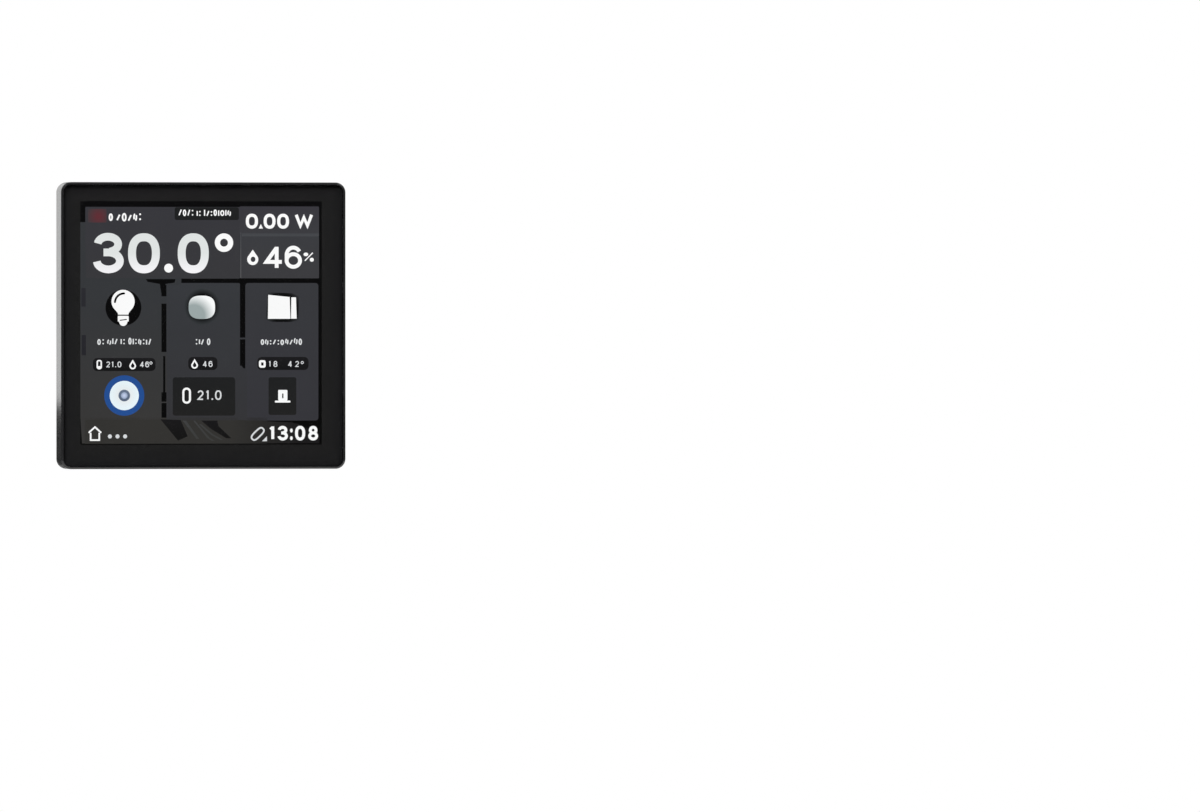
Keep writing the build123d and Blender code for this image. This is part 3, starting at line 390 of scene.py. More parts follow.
# Centre lines of each symbol in a box of width 1 and height 1, and whether the line is closed.
# Open ends may run past the box, by less than half a pen, because a stroke is cut square there.
SYMBOLS = {
    "0": [(oval((0.5, 0.5), 0.5, 0.5, power=2.35), True)],
    "1": [([(0.08, 0.82), (0.5, 0.97)], False), ([(0.62, 0.0), (0.62, 1.08)], False)],
    "2": [(arc((0.5, 0.71), 0.45, 0.29, 165, -32) + [(0.04, 0.0), (1.0, 0.0)], False)],
    "3": [
        (arc((0.46, 0.77), 0.46, 0.23, 174, -80), False),
        ([(0.26, 0.52), (0.62, 0.52)], False),
        (arc((0.48, 0.26), 0.52, 0.26, 82, -176), False),
    ],
    "4": [
        ([(0.72, -0.06), (0.72, 1.06)], False),
        ([(0.68, 0.98), (0.04, 0.26), (1.06, 0.26)], False),
    ],
    "6": [
        (oval((0.5, 0.33), 0.5, 0.33), True),
        (arc((0.5, 0.62), 0.5, 0.38, 28, 180) + [(0.0, 0.33)], False),
    ],
    "8": [(oval((0.5, 0.76), 0.41, 0.24), True), (oval((0.5, 0.26), 0.5, 0.26), True)],
    "W": [([(0.0, 1.08), (0.27, 0.1), (0.5, 0.84), (0.73, 0.1), (1.0, 1.08)], False)],
}


def write(symbol, left, bottom, width, height, pen):
    """Faces of a digit or letter whose outer edges fill the box given."""
    faces = []
    for path, closed in SYMBOLS[symbol]:
        placed = [
            (left + pen / 2 + x * (width - pen), bottom + pen / 2 + z * (height - pen))
            for x, z in path
        ]
        faces += stroke(placed, pen, closed)
    return faces


def write_row(symbols, bottom, height, pen):
    """Symbols on one line, each given with its left edge and its width."""
    faces = []
    for symbol, left, width in symbols:
        faces += write(symbol, left, bottom, width, height, pen)
    return faces


# Widths of digits as shares of their height, and the radius of a point as a share of the pen
DIGIT_WIDTH = 0.68
NARROW_DIGIT_WIDTH = 0.42
POINT_RADIUS = 0.6


def write_line(text, left, bottom, height, pen, gap):
    """A line of digits and points from left to right, in their usual widths."""
    point_radius = pen * POINT_RADIUS
    faces = []
    for symbol in text:
        if symbol == ".":
            faces.append(oval((left + point_radius, bottom + point_radius), point_radius, point_radius,
                              steps=24))
            left += 2 * point_radius + gap
        else:
            width = height * (NARROW_DIGIT_WIDTH if symbol == "1" else DIGIT_WIDTH)
            faces += write(symbol, left, bottom, width, height, pen)
            left += width + gap
    return faces


# Marks of the small print: their kinds, and their sizes as shares of the line's height, with
# the gap to the next mark in pen widths
MARKS = ("bar", "ring", "open", "slash", "dots")
MARK_WIDTH = (0.3, 0.45)
MARK_RISE = (0.0, 0.12)
MARK_HEIGHT = (0.66, 0.9)
MARK_GAP = (1.6, 1.9)
SLASH_WIDTH = 0.8
BRACKET_SWEEP = 120
WORD_GAP = 0.3
WORD_GAP_CHANCE = 0.08


def small_print(left, bottom, right, height, pen, seed):
    """Small print as a row of bars, rings, brackets, slashes and dots of uneven size."""
    chooser = random.Random(seed)
    faces = []
    mark = ""
    while left < right - height * max(MARK_WIDTH):
        mark = chooser.choice([kind for kind in MARKS if kind != mark])
        width = height * chooser.uniform(*MARK_WIDTH)
        low = bottom + height * chooser.uniform(*MARK_RISE)
        high = low + height * chooser.uniform(*MARK_HEIGHT)
        middle = (left + width / 2, (low + high) / 2)
        half_height = (high - low) / 2
        if mark == "ring":
            faces += stroke(oval(middle, width / 2, half_height, steps=20), pen, closed=True)
        elif mark == "open":
            for start in (100, 280):
                end = start + BRACKET_SWEEP
                faces += stroke(arc(middle, width / 2, half_height, start, end, steps=10), pen)
        elif mark == "slash":
            width *= SLASH_WIDTH
            faces += stroke([(left, low), (left + width, high)], pen)
        elif mark == "dots":
            radius = pen * POINT_RADIUS
            for z in (low + pen / 2, high - pen / 2):
                faces.append(oval((left + pen / 2, z), radius, radius, steps=16))
            width = pen
        else:
            faces += stroke([(left, low), (left, high)], pen)
            width = 0.0
        left += width + pen * chooser.uniform(*MARK_GAP)
        if chooser.random() < WORD_GAP_CHANCE:
            left += height * WORD_GAP
    return faces


# Thin solids from flat outlines
MERGE_DISTANCE = 1e-7


def make_object(name, work, material):
    """An object with a material from a mesh in work."""
    mesh = bpy.data.meshes.new(name)
    work.to_mesh(mesh)
    work.free()
    piece = bpy.data.objects.new(name, mesh)
    bpy.context.collection.objects.link(piece)
    mesh.materials.append(material)
    return piece


def flat_piece(name, faces, layer, material):
    """A piece of the lit picture: outlines on one layer of the stack behind the glass."""
    front = stack_high.y - (layer + 1) * LAYER_PITCH
    work = bmesh.new()
    for outline in faces:
        corners = [
            work.verts.new((SCREEN_MIDDLE.x + x * MM, front, SCREEN_MIDDLE.z + z * MM))
            for x, z in outline
        ]
        work.faces.new(corners)
    bmesh.ops.remove_doubles(work, verts=work.verts[:], dist=MERGE_DISTANCE)
    grown = bmesh.ops.extrude_face_region(work, geom=work.faces[:])
    moved = [item for item in grown["geom"] if isinstance(item, bmesh.types.BMVert)]
    bmesh.ops.translate(work, vec=(0, LAYER_THICKNESS, 0), verts=moved)
    bmesh.ops.recalc_face_normals(work, faces=work.faces[:])
    piece = make_object(name, work, material)
    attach(piece, UNIT)
    return piece


# Lit colours of the picture
RING_MIDDLE = (-23.25, -21.75)
KNOB_GLOW = (0.35, 4.9)
lit_white = lit_material("lit_white", srgb(250, 251, 251), srgb(255, 255, 255), grain=0.02)
lit_soft_white = lit_material("lit_soft_white", srgb(214, 217, 219), srgb(240, 242, 243), grain=0.04)
lit_big_digits = lit_material("lit_big_digits", srgb(247, 246, 249), srgb(226, 230, 229), 15.5, 21.0)
lit_black = lit_material("lit_black", srgb(2, 2, 2), srgb(5, 5, 6))
lit_tile_left = lit_material("lit_tile_left", srgb(56, 55, 54), srgb(53, 55, 58), -34.0, 8.0)
lit_tile_middle = lit_material("lit_tile_middle", srgb(52, 52, 55), srgb(55, 57, 61), -29.0, 12.0)
lit_tile_right = lit_material("lit_tile_right", srgb(53, 53, 58), srgb(56, 57, 61), -29.0, 12.0)
lit_tile_top = lit_material("lit_tile_top", srgb(56, 56, 59), srgb(55, 55, 60), 13.0, 34.0)
lit_tile_power = lit_material("lit_tile_power", srgb(60, 60, 64), srgb(56, 55, 61), 27.0, 35.0)
lit_tile_humidity = lit_material("lit_tile_humidity", srgb(60, 60, 63), srgb(59, 60, 64), 14.0, 26.0)
lit_tile_shade = lit_material("lit_tile_shade", srgb(36, 36, 41), srgb(42, 42, 47), -10.0, 10.0)
lit_panel = lit_material("lit_panel", srgb(32, 32, 32), srgb(30, 31, 32), -28.0, -16.0)
lit_pill = lit_material("lit_pill", srgb(18, 18, 19), srgb(26, 26, 28), -15.0, -10.0)
lit_band = lit_material("lit_band", srgb(51, 50, 48), srgb(26, 25, 26), 8.0, 30.0, axis="X")
lit_fold_dark = lit_material("lit_fold_dark", srgb(16, 16, 15), srgb(24, 23, 25), -36.0, -28.0)
lit_fold_light = lit_material("lit_fold_light", srgb(58, 59, 57), srgb(64, 65, 66), -36.0, -28.0)
lit_line = lit_material("lit_line", srgb(84, 84, 86), srgb(68, 70, 74), 13.0, 27.0)
lit_red = lit_material("lit_red", srgb(96, 46, 53), srgb(62, 58, 61), 0.6, 3.6, centre=(-31.0, 31.9))
lit_blue = lit_material("lit_blue", srgb(36, 78, 146), srgb(38, 88, 140), -3.0, 3.0, axis="X")
lit_pale_blue = lit_material("lit_pale_blue", srgb(232, 236, 238), srgb(232, 246, 252), 1.4, 4.2,
                             centre=RING_MIDDLE)
lit_ring = lit_material("lit_ring", srgb(84, 98, 120), srgb(104, 118, 140), -24.0, -20.0)
lit_ring_core = lit_material("lit_ring_core", srgb(196, 208, 236), srgb(146, 162, 190), 0.2, 1.0,
                             centre=RING_MIDDLE)
lit_silver = lit_material("lit_silver", srgb(156, 168, 168), srgb(252, 254, 254), 3.2, 6.4,
                          centre=(-2.2, 2.2))
lit_halo = lit_material("lit_halo", srgb(8, 9, 10), srgb(54, 57, 60), 3.7, 5.5, centre=KNOB_GLOW)
lit_door_halo = lit_material("lit_door_halo", srgb(10, 11, 12), srgb(54, 56, 59), 4.4, 6.3,
                             centre=(24.6, 4.6))


# The picture on the screen, tile by tile
def tiles():
    """Black ground, tiles, the band along the bottom and the gaps between the tiles."""
    ground = flat_piece(
        "picture_ground", [rounded_box(-HALF, -HALF, HALF, HALF, 0.2)], GROUND, lit_black)
    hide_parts("optical_adhesive")
    flat_piece("tile_temperature", [rounded_box(-35.0, 13.3, 11.7, 34.8, 0.3)], TILE, lit_tile_top)
    flat_piece("tile_power", [rounded_box(11.6, 26.7, 35.7, 35.0, 0.3)], TILE, lit_tile_power)
    flat_piece("tile_humidity", [rounded_box(11.8, 13.4, 35.7, 26.0, 0.3)], TILE, lit_tile_humidity)
    flat_piece("tile_divider", [
        rounded_box(12.2, 26.0, 35.7, 26.9, 0.1),
        rounded_box(11.75, 13.5, 12.15, 27.2, 0.1),
    ], FIELD, lit_line)
    flat_piece("tile_light", [rounded_box(-35.2, -29.0, -12.0, 12.0, 0.3)], TILE, lit_tile_left)
    flat_piece("tile_bridge", [
        rounded_box(-35.2, 11.4, -6.0, 13.5, 0.2),
        rounded_box(-12.2, 5.8, -10.4, 8.0, 0.2),
        rounded_box(-12.2, -9.9, -10.4, -8.7, 0.2),
        rounded_box(-12.2, -24.0, -10.4, -23.6, 0.1),
        rounded_box(-12.2, -20.8, -11.5, -9.4, 0.1),
        rounded_box(-10.85, -20.8, -10.4, -9.4, 0.1),
    ], FIELD, lit_tile_left)
    flat_piece("tile_edge", [
        [(-HALF, 30.2), (-34.8, 30.2), (-34.8, -36.1), (-36.0, -36.1), (-HALF, -28.0)],
    ], TILE, lit_tile_left)
    flat_piece("tile_edge_shade", [
        rounded_box(-36.2, 4.9, -34.9, 10.5, 0.2),
        rounded_box(-36.1, -9.7, -34.8, -3.6, 0.2),
    ], FIELD, lit_tile_shade)
    flat_piece("gap_flare", [
        [(-16.75, 13.15), (-7.75, 13.15), (-8.05, 12.1), (-10.8, 11.7), (-10.8, 8.1), (-11.9, 8.1),
         (-12.5, 11.7), (-16.2, 12.35)],
    ], ICON, lit_black)
    flat_piece("tile_heating", [rounded_box(-10.5, -29.2, 11.75, 12.0, 0.4)], TILE, lit_tile_middle)
    flat_piece("tile_door", [rounded_box(13.35, -29.3, 35.5, 12.0, 0.9)], TILE, lit_tile_right)
    flat_piece("tile_joint", [
        [(11.5, -12.8), (12.2, -12.8), (12.8, -13.6), (13.9, -13.7), (13.9, -29.2), (11.2, -29.1)],
        rounded_box(11.5, -4.9, 13.6, -4.4, 0.1),
    ], FIELD, lit_tile_middle)
    flat_piece("tile_band", [
        rounded_box(-35.2, -HALF + 0.3, 20.0, -28.4, 0.3),
        [(19.9, -36.1), (35.8, -36.1), (35.8, -33.4), (29.6, -30.4), (27.5, -29.9), (19.9, -29.5)],
    ], TILE, lit_band)


def folds():
    """Slanted folds of the wallpaper that show below the tiles."""
    flat_piece("wallpaper_folds", [
        [(-12.3, -28.9), (-6.2, -29.1), (-4.1, -34.0), (-7.0, -35.3)],
        [(0.0, -29.3), (4.9, -29.3), (5.2, -30.9), (9.1, -34.6), (7.6, -34.6), (3.0, -31.8)],
    ], FIELD, lit_fold_dark)
    flat_piece("wallpaper_glints", [
        [(-5.6, -29.3), (-4.6, -29.3), (-0.6, -34.8), (-1.4, -34.8)],
        [(-2.4, -29.3), (-1.9, -29.3), (2.5, -34.4), (4.2, -35.4), (3.2, -35.4), (1.8, -34.5)],
        [(-0.6, -30.4), (0.0, -30.4), (3.6, -33.4), (6.6, -35.0), (5.8, -35.1), (3.0, -33.6)],
    ], FIELD, lit_fold_light)


def temperature_tile():
    """Large reading with its degree ring, a red tag and two small prints."""
    digits = write("3", -32.4, 14.9, 9.0, 12.1, pen=2.3)
    digits += write_row([("0", -22.1, 9.6), ("0", -7.1, 9.4)], 14.9, 12.0, pen=2.4)
    flat_piece("temperature_reading", digits, READING, lit_big_digits)
    flat_piece("temperature_point", [oval((-9.85, 16.45), 1.33, 1.33)], READING, lit_white)
    ring = stroke(oval((6.9, 24.1), 1.98, 1.98), 1.6, closed=True)
    flat_piece("degree_ring", ring, READING, lit_white)
    flat_piece("red_tag", [rounded_box(-34.2, 30.1, -28.6, 34.2, 0.2)], FIELD, lit_red)
    left_print = small_print(-27.7, 30.6, -16.9, height=2.3, pen=0.5, seed=4)
    flat_piece("small_print_left", left_print, ICON, lit_white)
    flat_piece("print_box", [rounded_box(-8.0, 30.9, 11.4, 34.7, 0.6)], FIELD, lit_panel)
    right_print = small_print(-6.7, 32.1, 10.4, height=2.0, pen=0.38, seed=11)
    flat_piece("small_print_right", right_print, ICON, lit_white)


def power_and_humidity():
    """Power reading, and a drop beside the humidity reading."""
    power = write_row([("0", 13.5, 3.7), ("0", 18.9, 3.6), ("0", 23.0, 3.6)], 28.3, 4.5, pen=0.95)
    power += write("W", 28.3, 28.4, 5.6, 4.3, pen=0.95)
    power.append([(17.4, 28.35), (18.7, 28.35), (18.05, 29.7)])
    flat_piece("power_reading", power, READING, lit_white)
    humidity = write("4", 19.0, 16.3, 5.7, 6.8, pen=1.15)
    humidity += write("6", 25.3, 16.3, 5.2, 6.9, pen=1.15)
    flat_piece("humidity_reading", humidity, READING, lit_white)
    percent = [oval((31.7, 20.6), 0.72, 0.55, steps=20), oval((33.5, 19.0), 0.62, 0.6, steps=20)]
    percent += stroke([(31.4, 18.7), (33.8, 21.1)], 0.34)
    flat_piece("percent_sign", percent, READING, lit_white)
    round_part = arc((15.6, 19.1), 1.68, 1.72, 150, 390)
    flat_piece("drop_icon", [round_part + [(15.6, 22.0)]], READING, lit_white)
    flat_piece("drop_core", [oval((15.7, 19.1), 0.72, 0.8)], MARK, lit_tile_humidity)


def tile_print(name, left, right, seed):
    """A row of small print across the lower half of a tile."""
    bottom = -6.5
    marks = small_print(left, bottom, right, height=1.9, pen=0.38, seed=seed)
    flat_piece(name, marks, ICON, lit_soft_white)


def pill(name, left, bottom, right):
    """A dark capsule behind a row of small readings."""
    height = 3.9
    corner = 1.3
    flat_piece(name, [rounded_box(left, bottom, right, bottom + height, corner)], FIELD, lit_pill)


def small_ring(x, z):
    """Outline of a small degree ring."""
    return stroke(oval((x, z), 0.35, 0.35, steps=16), 0.22, closed=True)


def thermometer(x, z):
    """Outline of a small thermometer."""
    tube = stroke(rounded_box(x - 0.6, z - 1.1, x + 0.6, z + 1.2, 0.4), 0.42, closed=True)
    return tube + [oval((x, z - 0.9), 0.7, 0.5, steps=24)]


def small_drop(x, z):
    """Outline of a small drop."""
    return stroke(arc((x, z - 0.4), 0.78, 0.78, 150, 390, steps=20) + [(x, z + 1.1)], 0.46, closed=True)


def light_tile():
    """Bulb on a black disc, small print, a pill of readings and a blue ring."""
    flat_piece("bulb_disc", [oval((-23.5, 4.6), 5.4, 5.4)], FIELD, lit_black)
    bulb = arc((-23.6, 6.45), 3.5, 3.5, -46, 226)
    bulb += [(-25.2, 3.0), (-25.1, 2.5), (-22.0, 2.5), (-21.9, 3.0)]
    flat_piece("bulb_crown", [bulb], ICON, lit_white)
    base = rounded_box(-25.2, 0.4, -21.9, 2.15, 0.25)
    foot = arc((-23.55, 0.45), 1.25, 1.35, 180, 360)
    flat_piece("bulb_base", [base, foot], ICON, lit_white)
    glint = stroke(arc((-23.3, 6.1), 2.75, 2.75, 90, 176), 0.62, round_ends=True)
    glint += stroke([(-24.5, 0.8), (-22.6, 1.05)], 0.3, round_ends=True)
    flat_piece("bulb_glint", glint, READING, lit_black)
    tile_print("light_print", -31.2, -14.8, seed=21)
    pill("light_pill", -32.7, -14.4, -13.8)
    readings = write_line("21.0", -28.7, -13.3, 1.75, pen=0.28, gap=0.38)
    readings += write_line("46", -18.5, -13.3, 1.75, pen=0.28, gap=0.38)
    flat_piece("light_readings", readings + small_ring(-15.2, -12.0), READING, lit_soft_white)
    icons = thermometer(-30.8, -12.5) + small_drop(-20.7, -12.5)
    flat_piece("light_icons", icons, READING, lit_white)
    flat_piece("blue_disc", [oval(RING_MIDDLE, 6.05, 6.05)], FIELD, lit_blue)
    flat_piece("white_disc", [oval(RING_MIDDLE, 4.4, 4.4)], ICON, lit_pale_blue)
    flat_piece("grey_ring", stroke(oval(RING_MIDDLE, 1.38, 1.38), 0.75, closed=True), READING, lit_ring)
    flat_piece("ring_core", [oval(RING_MIDDLE, 1.02, 1.02, steps=32)], READING, lit_ring_core)


def heating_tile():
    """Round silver knob icon, small print, a pill and a setting in a dark panel."""
    flat_piece("knob_halo", [oval(KNOB_GLOW, 5.5, 5.5)], FIELD, lit_halo)
    flat_piece("knob_icon", [oval((0.2, 4.7), 4.0, 3.5, power=2.7)], ICON, lit_silver)
    tile_print("heating_print", -1.6, 3.4, seed=5)
    pill("heating_pill", -3.9, -14.1, 4.9)
    readings = write_line("46", 0.5, -13.2, 1.8, pen=0.28, gap=0.5)
    flat_piece("heating_readings", readings, READING, lit_soft_white)
    flat_piece("heating_icon", small_drop(-2.0, -12.3), READING, lit_white)
    flat_piece("heating_panel", [rounded_box(-8.6, -27.8, 10.3, -16.3, 0.8)], FIELD, lit_panel)
    capsule = rounded_box(-5.4, -23.9, -3.4, -19.7, 0.95)
    flat_piece("heating_capsule", stroke(capsule, 0.62, closed=True), READING, lit_white)
    setting = write_line("21.0", -1.2, -23.1, 2.9, pen=0.44, gap=0.55)
    flat_piece("heating_setting", setting, READING, lit_soft_white)


def door_tile():
    """White door icon, small print, a pill and a small panel with a stand icon."""
    halo = [(19.6, 0.9), (20.2, 9.2), (27.5, 8.9), (29.6, 8.0), (29.5, 0.8), (27.0, 0.3), (21.5, 0.3)]
    flat_piece("door_halo", [halo], FIELD, lit_door_halo)
    leaf = [(20.2, 1.25), (20.3, 8.45), (26.8, 7.8), (27.0, 1.25)]
    side = [(27.2, 1.3), (27.3, 7.7), (28.7, 7.7), (28.9, 1.3)]
    flat_piece("door_icon", [leaf, side], ICON, lit_white)
    tile_print("door_print", 18.2, 31.6, seed=8)
    pill("door_pill", 17.0, -14.1, 32.5)
    readings = write_line("18", 20.4, -13.2, 1.8, pen=0.28, gap=0.7)
    readings += write_line("42", 26.3, -13.2, 1.8, pen=0.28, gap=0.9)
    flat_piece("door_readings", readings + small_ring(30.6, -11.9), READING, lit_soft_white)
    lock = rounded_box(17.8, -13.1, 19.2, -11.5, 0.3)
    flat_piece("door_lock", stroke(lock, 0.66, closed=True), READING, lit_white)
    flat_piece("door_panel", [rounded_box(20.4, -27.6, 28.8, -16.3, 0.6)], FIELD, lit_panel)
    stand = [rounded_box(23.3, -23.3, 26.1, -20.1, 0.3), rounded_box(22.3, -23.9, 27.0, -23.3, 0.2)]
    flat_piece("stand_icon", stand, READING, lit_white)
    flat_piece("stand_mark", stroke([(24.7, -22.6), (24.7, -21.2)], 0.4), MARK, lit_panel)


def bottom_row():
    """House icon with page dots on the left; link, signal and time on the right."""
    icon_pen = 0.5
    roof = stroke([(-34.0, -32.9), (-32.1, -31.2), (-30.2, -32.9)], icon_pen)
    walls = stroke([(-33.4, -32.9), (-33.4, -35.1), (-30.8, -35.1), (-30.8, -32.9)], icon_pen)
    flat_piece("home_icon", roof + walls, READING, lit_white)
    dots = [oval((x, -34.0), 0.62, 0.62, steps=24) for x in (-27.6, -25.3, -23.0)]
    flat_piece("page_dots", dots, READING, lit_soft_white)
    link_x, link_z = 17.1, -33.3
    slant = math.radians(44)
    link = []
    for x, z in oval((0.0, 0.0), 2.25, 0.95, power=3.0, steps=32):
        link.append((link_x + x * math.cos(slant) - z * math.sin(slant),
                     link_z + x * math.sin(slant) + z * math.cos(slant)))
    flat_piece("link_icon", stroke(link, icon_pen, closed=True), READING, lit_soft_white)
    flat_piece("signal_icon", [[(18.4, -35.5), (19.9, -35.5), (19.9, -34.0)]], READING, lit_soft_white)
    digits = [("1", 20.4, 2.2), ("3", 23.2, 3.05), ("0", 28.4, 3.1), ("8", 32.4, 3.0)]
    time = write_row(digits, -35.3, 4.4, pen=0.9)
    time += [oval((27.3, z), 0.42, 0.6, steps=20) for z in (-34.6, -32.3)]
    flat_piece("time_reading", time, READING, lit_white)


tiles()
folds()
temperature_tile()
power_and_humidity()
light_tile()
heating_tile()
door_tile()
bottom_row()

# Black print on the back of the glass, with a window for the screen, in millimetres
PRINT_INSET = 0.15
PRINT_THICKNESS = 0.01
PRINT_CORNER = 2.0
WINDOW_CORNER = 0.2


def ring_mesh(outer, inner, front, back):
    """Mesh of a flat ring between an outer and an inner outline of equal point count."""
    work = bmesh.new()
    loops = []
    for y in (front, back):
        for outline in (outer, inner):
            loops.append([work.verts.new((x * MM, y, z * MM)) for x, z in outline])
    count = len(outer)
    for index in range(count):
        following = (index + 1) % count
        for first, second in ((0, 1), (1, 3), (3, 2), (2, 0)):
            work.faces.new((
                loops[first][index], loops[second][index],
                loops[second][following], loops[first][following],
            ))
    bmesh.ops.recalc_face_normals(work, faces=work.faces[:])
    return work


def border_print():
    """The black border round the screen."""
    reach = glass_high.x / MM - PRINT_INSET
    left = SCREEN_MIDDLE.x / MM - HALF
    bottom = SCREEN_MIDDLE.z / MM - HALF
    outer = rounded_box(-reach, -reach, reach, reach, PRINT_CORNER)
    window = rounded_box(left, bottom, left + SCREEN_SIZE, bottom + SCREEN_SIZE, WINDOW_CORNER)
    # The inner colour is a little lighter than the outer one, so the border carries painted shade
    # towards its rim.
    ink_and_painted_shade = ink_material_with_painted_shade("border_ink_with_painted_shade", srgb(22, 22, 22), srgb(20, 20, 21))
    work = ring_mesh(outer, window, glass_high.y - PRINT_THICKNESS * MM, glass_high.y)
    piece = make_object("border_print", work, ink_and_painted_shade)
    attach(piece, UNIT)


border_print()


# Materials of the frame's nodes
def dress(material, *nodes):
    """Gives CAD nodes a material."""
    for node in nodes:
        item = frame["nodes"][node]
        item.data.materials.clear()
        item.data.materials.append(material)


satin_black = solid_material("satin_black", srgb(24, 24, 25), 0.24, grain=5000.0, bump=0.03,
                             variation=0.06)
grained_black = solid_material("grained_black", srgb(40, 40, 42), 0.55, grain=2600.0, bump=0.35,
                               variation=0.1)
module_black = solid_material("module_black", srgb(46, 47, 49), 0.5, grain=2200.0, bump=0.3,
                              variation=0.1)
tape_black = solid_material("tape_black", srgb(16, 16, 16), 0.8, grain=4000.0)
chip_black = solid_material("chip_black", srgb(28, 28, 30), 0.45, grain=6000.0, bump=0.2)
connector_black = solid_material("connector_black", srgb(34, 34, 36), 0.4, grain=3500.0)
off_white = solid_material("off_white", srgb(226, 225, 220), 0.4, variation=0.03)
terminal_green = solid_material("terminal_green", srgb(32, 116, 66), 0.38, grain=2600.0, bump=0.2,
                                variation=0.08)
relay_blue = solid_material("relay_blue", srgb(44, 92, 166), 0.35, variation=0.06)
ferrite_grey = solid_material("ferrite_grey", srgb(58, 58, 62), 0.6, grain=4500.0, bump=0.4)
ceramic_tan = solid_material("ceramic_tan", srgb(186, 164, 132), 0.45, grain=4000.0)
coat_blue = solid_material("coat_blue", srgb(38, 92, 150), 0.25, coat=0.4, grain=900.0)
sleeve_black = solid_material("sleeve_black", srgb(34, 38, 50), 0.3, coat=0.3, variation=0.06)
flex_amber = solid_material("flex_amber", srgb(176, 112, 38), 0.35, coat=0.2, cloud=400.0)
acrylic = solid_material("acrylic", srgb(228, 233, 236), 0.15, variation=0.02, bump=0.05)
lamp_strip = solid_material("lamp_strip", srgb(226, 206, 120), 0.35, cloud=500.0)
screen_dark = solid_material("screen_dark", srgb(12, 12, 14), 0.12, bump=0.02, specular=0.2)
zinc = sheet_metal("zinc_sheet", srgb(196, 199, 202), 0.34)
plated_screw = sheet_metal("plated_screw", srgb(206, 207, 206), 0.25, spangle=2500.0, contrast=0.05)
spring_steel = sheet_metal("spring_steel", srgb(172, 172, 176), 0.22, spangle=1800.0, contrast=0.06)
pressed_steel = sheet_metal("pressed_steel", srgb(186, 188, 190), 0.3, spangle=1200.0, contrast=0.05)
tinned_copper = sheet_metal("tinned_copper", srgb(204, 196, 184), 0.28, spangle=1500.0, contrast=0.08)
gold = sheet_metal("gold_plate", srgb(232, 196, 108), 0.22, spangle=2500.0, contrast=0.05)
green_board = board_material("green_board", srgb(26, 92, 54), srgb(58, 132, 78))
copper_winding = wound_material("copper_winding", srgb(206, 158, 52))
front_glass = clear_glass("front_glass")

dress(front_glass, "cover_glass")
dress(satin_black, "front_frame")
dress(grained_black, "rear_cover")
dress(module_black, "power_housing", "power_lid")
dress(tape_black, "glass_tape")
dress(screen_dark, "lcd_cell")
dress(chip_black, "display_driver", "processor_chip", "memory_chips", "climate_sensor", "power_chips")
dress(connector_black, "flex_connectors", "reset_switch", "header_plug", "socket_connector")
dress(off_white, "reset_plunger")
dress(terminal_green, "terminal_block")
dress(relay_blue, "relay")
dress(ferrite_grey, "board_inductors", "transformer_core")
dress(ceramic_tan, "board_capacitors", "input_fuse")
dress(coat_blue, "surge_varistor")
dress(sleeve_black, "bulk_capacitors", "output_capacitors")
dress(flex_amber, "lcd_flex", "touch_flex")
dress(acrylic, "light_guide")
dress(lamp_strip, "backlight_leds")
dress(zinc, "wall_plate")
dress(plated_screw, "board_screws", "module_screws")
dress(spring_steel, "retaining_clips")
dress(pressed_steel, "backlight_tray", "radio_module")
dress(tinned_copper, "terminal_tongues")
dress(gold, "header_pins", "wifi_antenna")
dress(green_board, "main_board", "power_board")
dress(copper_winding, "transformer_winding")
TERMINALS = 4
for number in range(1, TERMINALS + 1):
    dress(plated_screw, f"terminal_screw_{number}")
    dress(spring_steel, f"terminal_cage_{number}")

# Floor, lights and world
FLOOR_DROP = 0.25
FLOOR_RADIUS = 1.0
CAMERA_LEVEL = 1.0
ROOM_FRONT_LEVEL = 0.04
ROOM_BACK_LEVEL = 0.04
ROOM_BLEND = 0.6
ORIGIN = (0.0, 0.0, 0.0)


def floor():
    """A round pale floor below the part."""
    work = bmesh.new()
    bmesh.ops.create_circle(work, cap_ends=True, segments=96, radius=FLOOR_RADIUS)
    bmesh.ops.translate(work, vec=(0, 0, -FLOOR_DROP), verts=work.verts[:])
    pale = solid_material("pale_floor", srgb(176, 176, 175), 0.7, grain=300.0, bump=0.02,
                          variation=0.01, cloud=2.0)
    piece = make_object("floor", work, pale)


def soft_light(name, place, target, width, height, power):
    """An area light aimed at a point and unseen by the camera, with its power in watts."""
    data = bpy.data.lights.new(name, "AREA")
    data.shape = "RECTANGLE"
    data.size = width
    data.size_y = height
    data.energy = power
    lamp = bpy.data.objects.new(name, data)
    bpy.context.collection.objects.link(lamp)
    lamp.location = place
    lamp.rotation_euler = (Vector(target) - Vector(place)).to_track_quat("-Z", "Y").to_euler()
    lamp.visible_camera = False


def world():
    """White where the camera looks past the part, and a dim room round it otherwise, with one
    level in front of the part that blends into one behind it."""
    setting = bpy.data.worlds.new("studio")
    bpy.context.scene.world = setting
    setting.use_nodes = True
    tree = setting.node_tree
    tree.nodes.clear()
    output = tree.nodes.new("ShaderNodeOutputWorld")
    seen = add_node(tree, "ShaderNodeBackground", Color=WHITE, Strength=CAMERA_LEVEL)
    room = add_node(tree, "ShaderNodeBackground", Color=WHITE)
    where = tree.nodes.new("ShaderNodeTexCoord")
    parts = tree.nodes.new("ShaderNodeSeparateXYZ")
    tree.links.new(where.outputs["Generated"], parts.inputs["Vector"])
    level = map_range(tree, parts.outputs["Y"], ROOM_FRONT_LEVEL, ROOM_BACK_LEVEL,
                      start=-ROOM_BLEND, end=ROOM_BLEND)
    tree.links.new(level, room.inputs["Strength"])
    path = tree.nodes.new("ShaderNodeLightPath")
    mixed = tree.nodes.new("ShaderNodeMixShader")
    tree.links.new(path.outputs["Is Camera Ray"], mixed.inputs["Fac"])
    tree.links.new(room.outputs["Background"], mixed.inputs[1])
    tree.links.new(seen.outputs["Background"], mixed.inputs[2])
    tree.links.new(mixed.outputs["Shader"], output.inputs["Surface"])


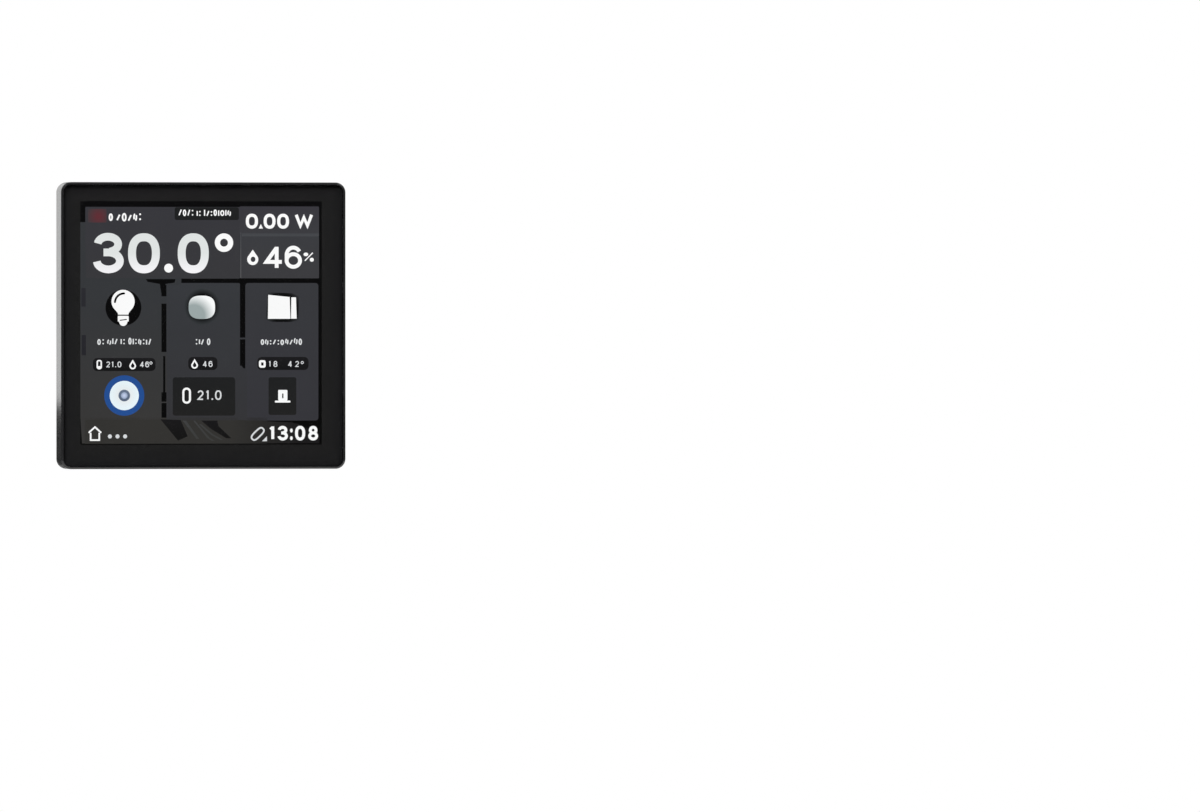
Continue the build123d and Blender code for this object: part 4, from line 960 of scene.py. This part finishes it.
floor()
world()
soft_light("key", (-0.9, -1.1, 1.3), ORIGIN, width=0.8, height=0.8, power=70.0)
soft_light("fill", (1.1, -0.8, 1.5), ORIGIN, width=0.9, height=0.9, power=40.0)
soft_light("back_key", (0.9, 1.1, 1.1), ORIGIN, width=0.8, height=0.8, power=55.0)

# Two panels behind the part on its left, mirrored in the gloss of its left flank
soft_light("flank_panel", (-0.09, 0.2, 0.115), (-0.09, 0.0, 0.115), width=0.12, height=0.28, power=0.115)
soft_light("flank_panel_upper", (-0.09, 0.2, 0.132), (-0.09, 0.0, 0.132), width=0.12, height=0.2,
           power=0.06)

# Camera: a long lens a little to the left of the part, level with its middle. The front's
# middle and the length of its edge are given in pixels of an image of this size, and the
# sensor's width in millimetres.
IMAGE_WIDTH = 1200
IMAGE_HEIGHT = 812
FACE_PIXEL_X = 203.7
FACE_PIXEL_Y = 325.6
FACE_PIXEL_SIZE = 286.6
FACE_SIZE = 0.086
CAMERA_YAW = 7.5
CAMERA_DISTANCE = 4.0
CAMERA_REACH = 50.0
SENSOR = 36.0
face_middle = Vector((0, glass_low.y, 0))
pixels_per_metre = FACE_PIXEL_SIZE / FACE_SIZE
yaw = math.radians(CAMERA_YAW)
line_of_sight = Vector((math.sin(yaw), math.cos(yaw), 0))
rightward = Vector((math.cos(yaw), -math.sin(yaw), 0))
aim = face_middle + rightward * ((IMAGE_WIDTH / 2 - FACE_PIXEL_X) / pixels_per_metre)
aim.z -= (IMAGE_HEIGHT / 2 - FACE_PIXEL_Y) / pixels_per_metre
camera_data = bpy.data.cameras.new("camera")
camera_data.sensor_width = SENSOR
camera_data.lens = pixels_per_metre * CAMERA_DISTANCE * SENSOR / IMAGE_WIDTH
camera_data.clip_end = CAMERA_REACH
camera = bpy.data.objects.new("camera", camera_data)
bpy.context.collection.objects.link(camera)
camera.location = face_middle - line_of_sight * CAMERA_DISTANCE
camera.rotation_euler = (aim - camera.location).to_track_quat("-Z", "Y").to_euler()
bpy.context.scene.camera = camera
bpy.context.scene.view_settings.view_transform = "Standard"
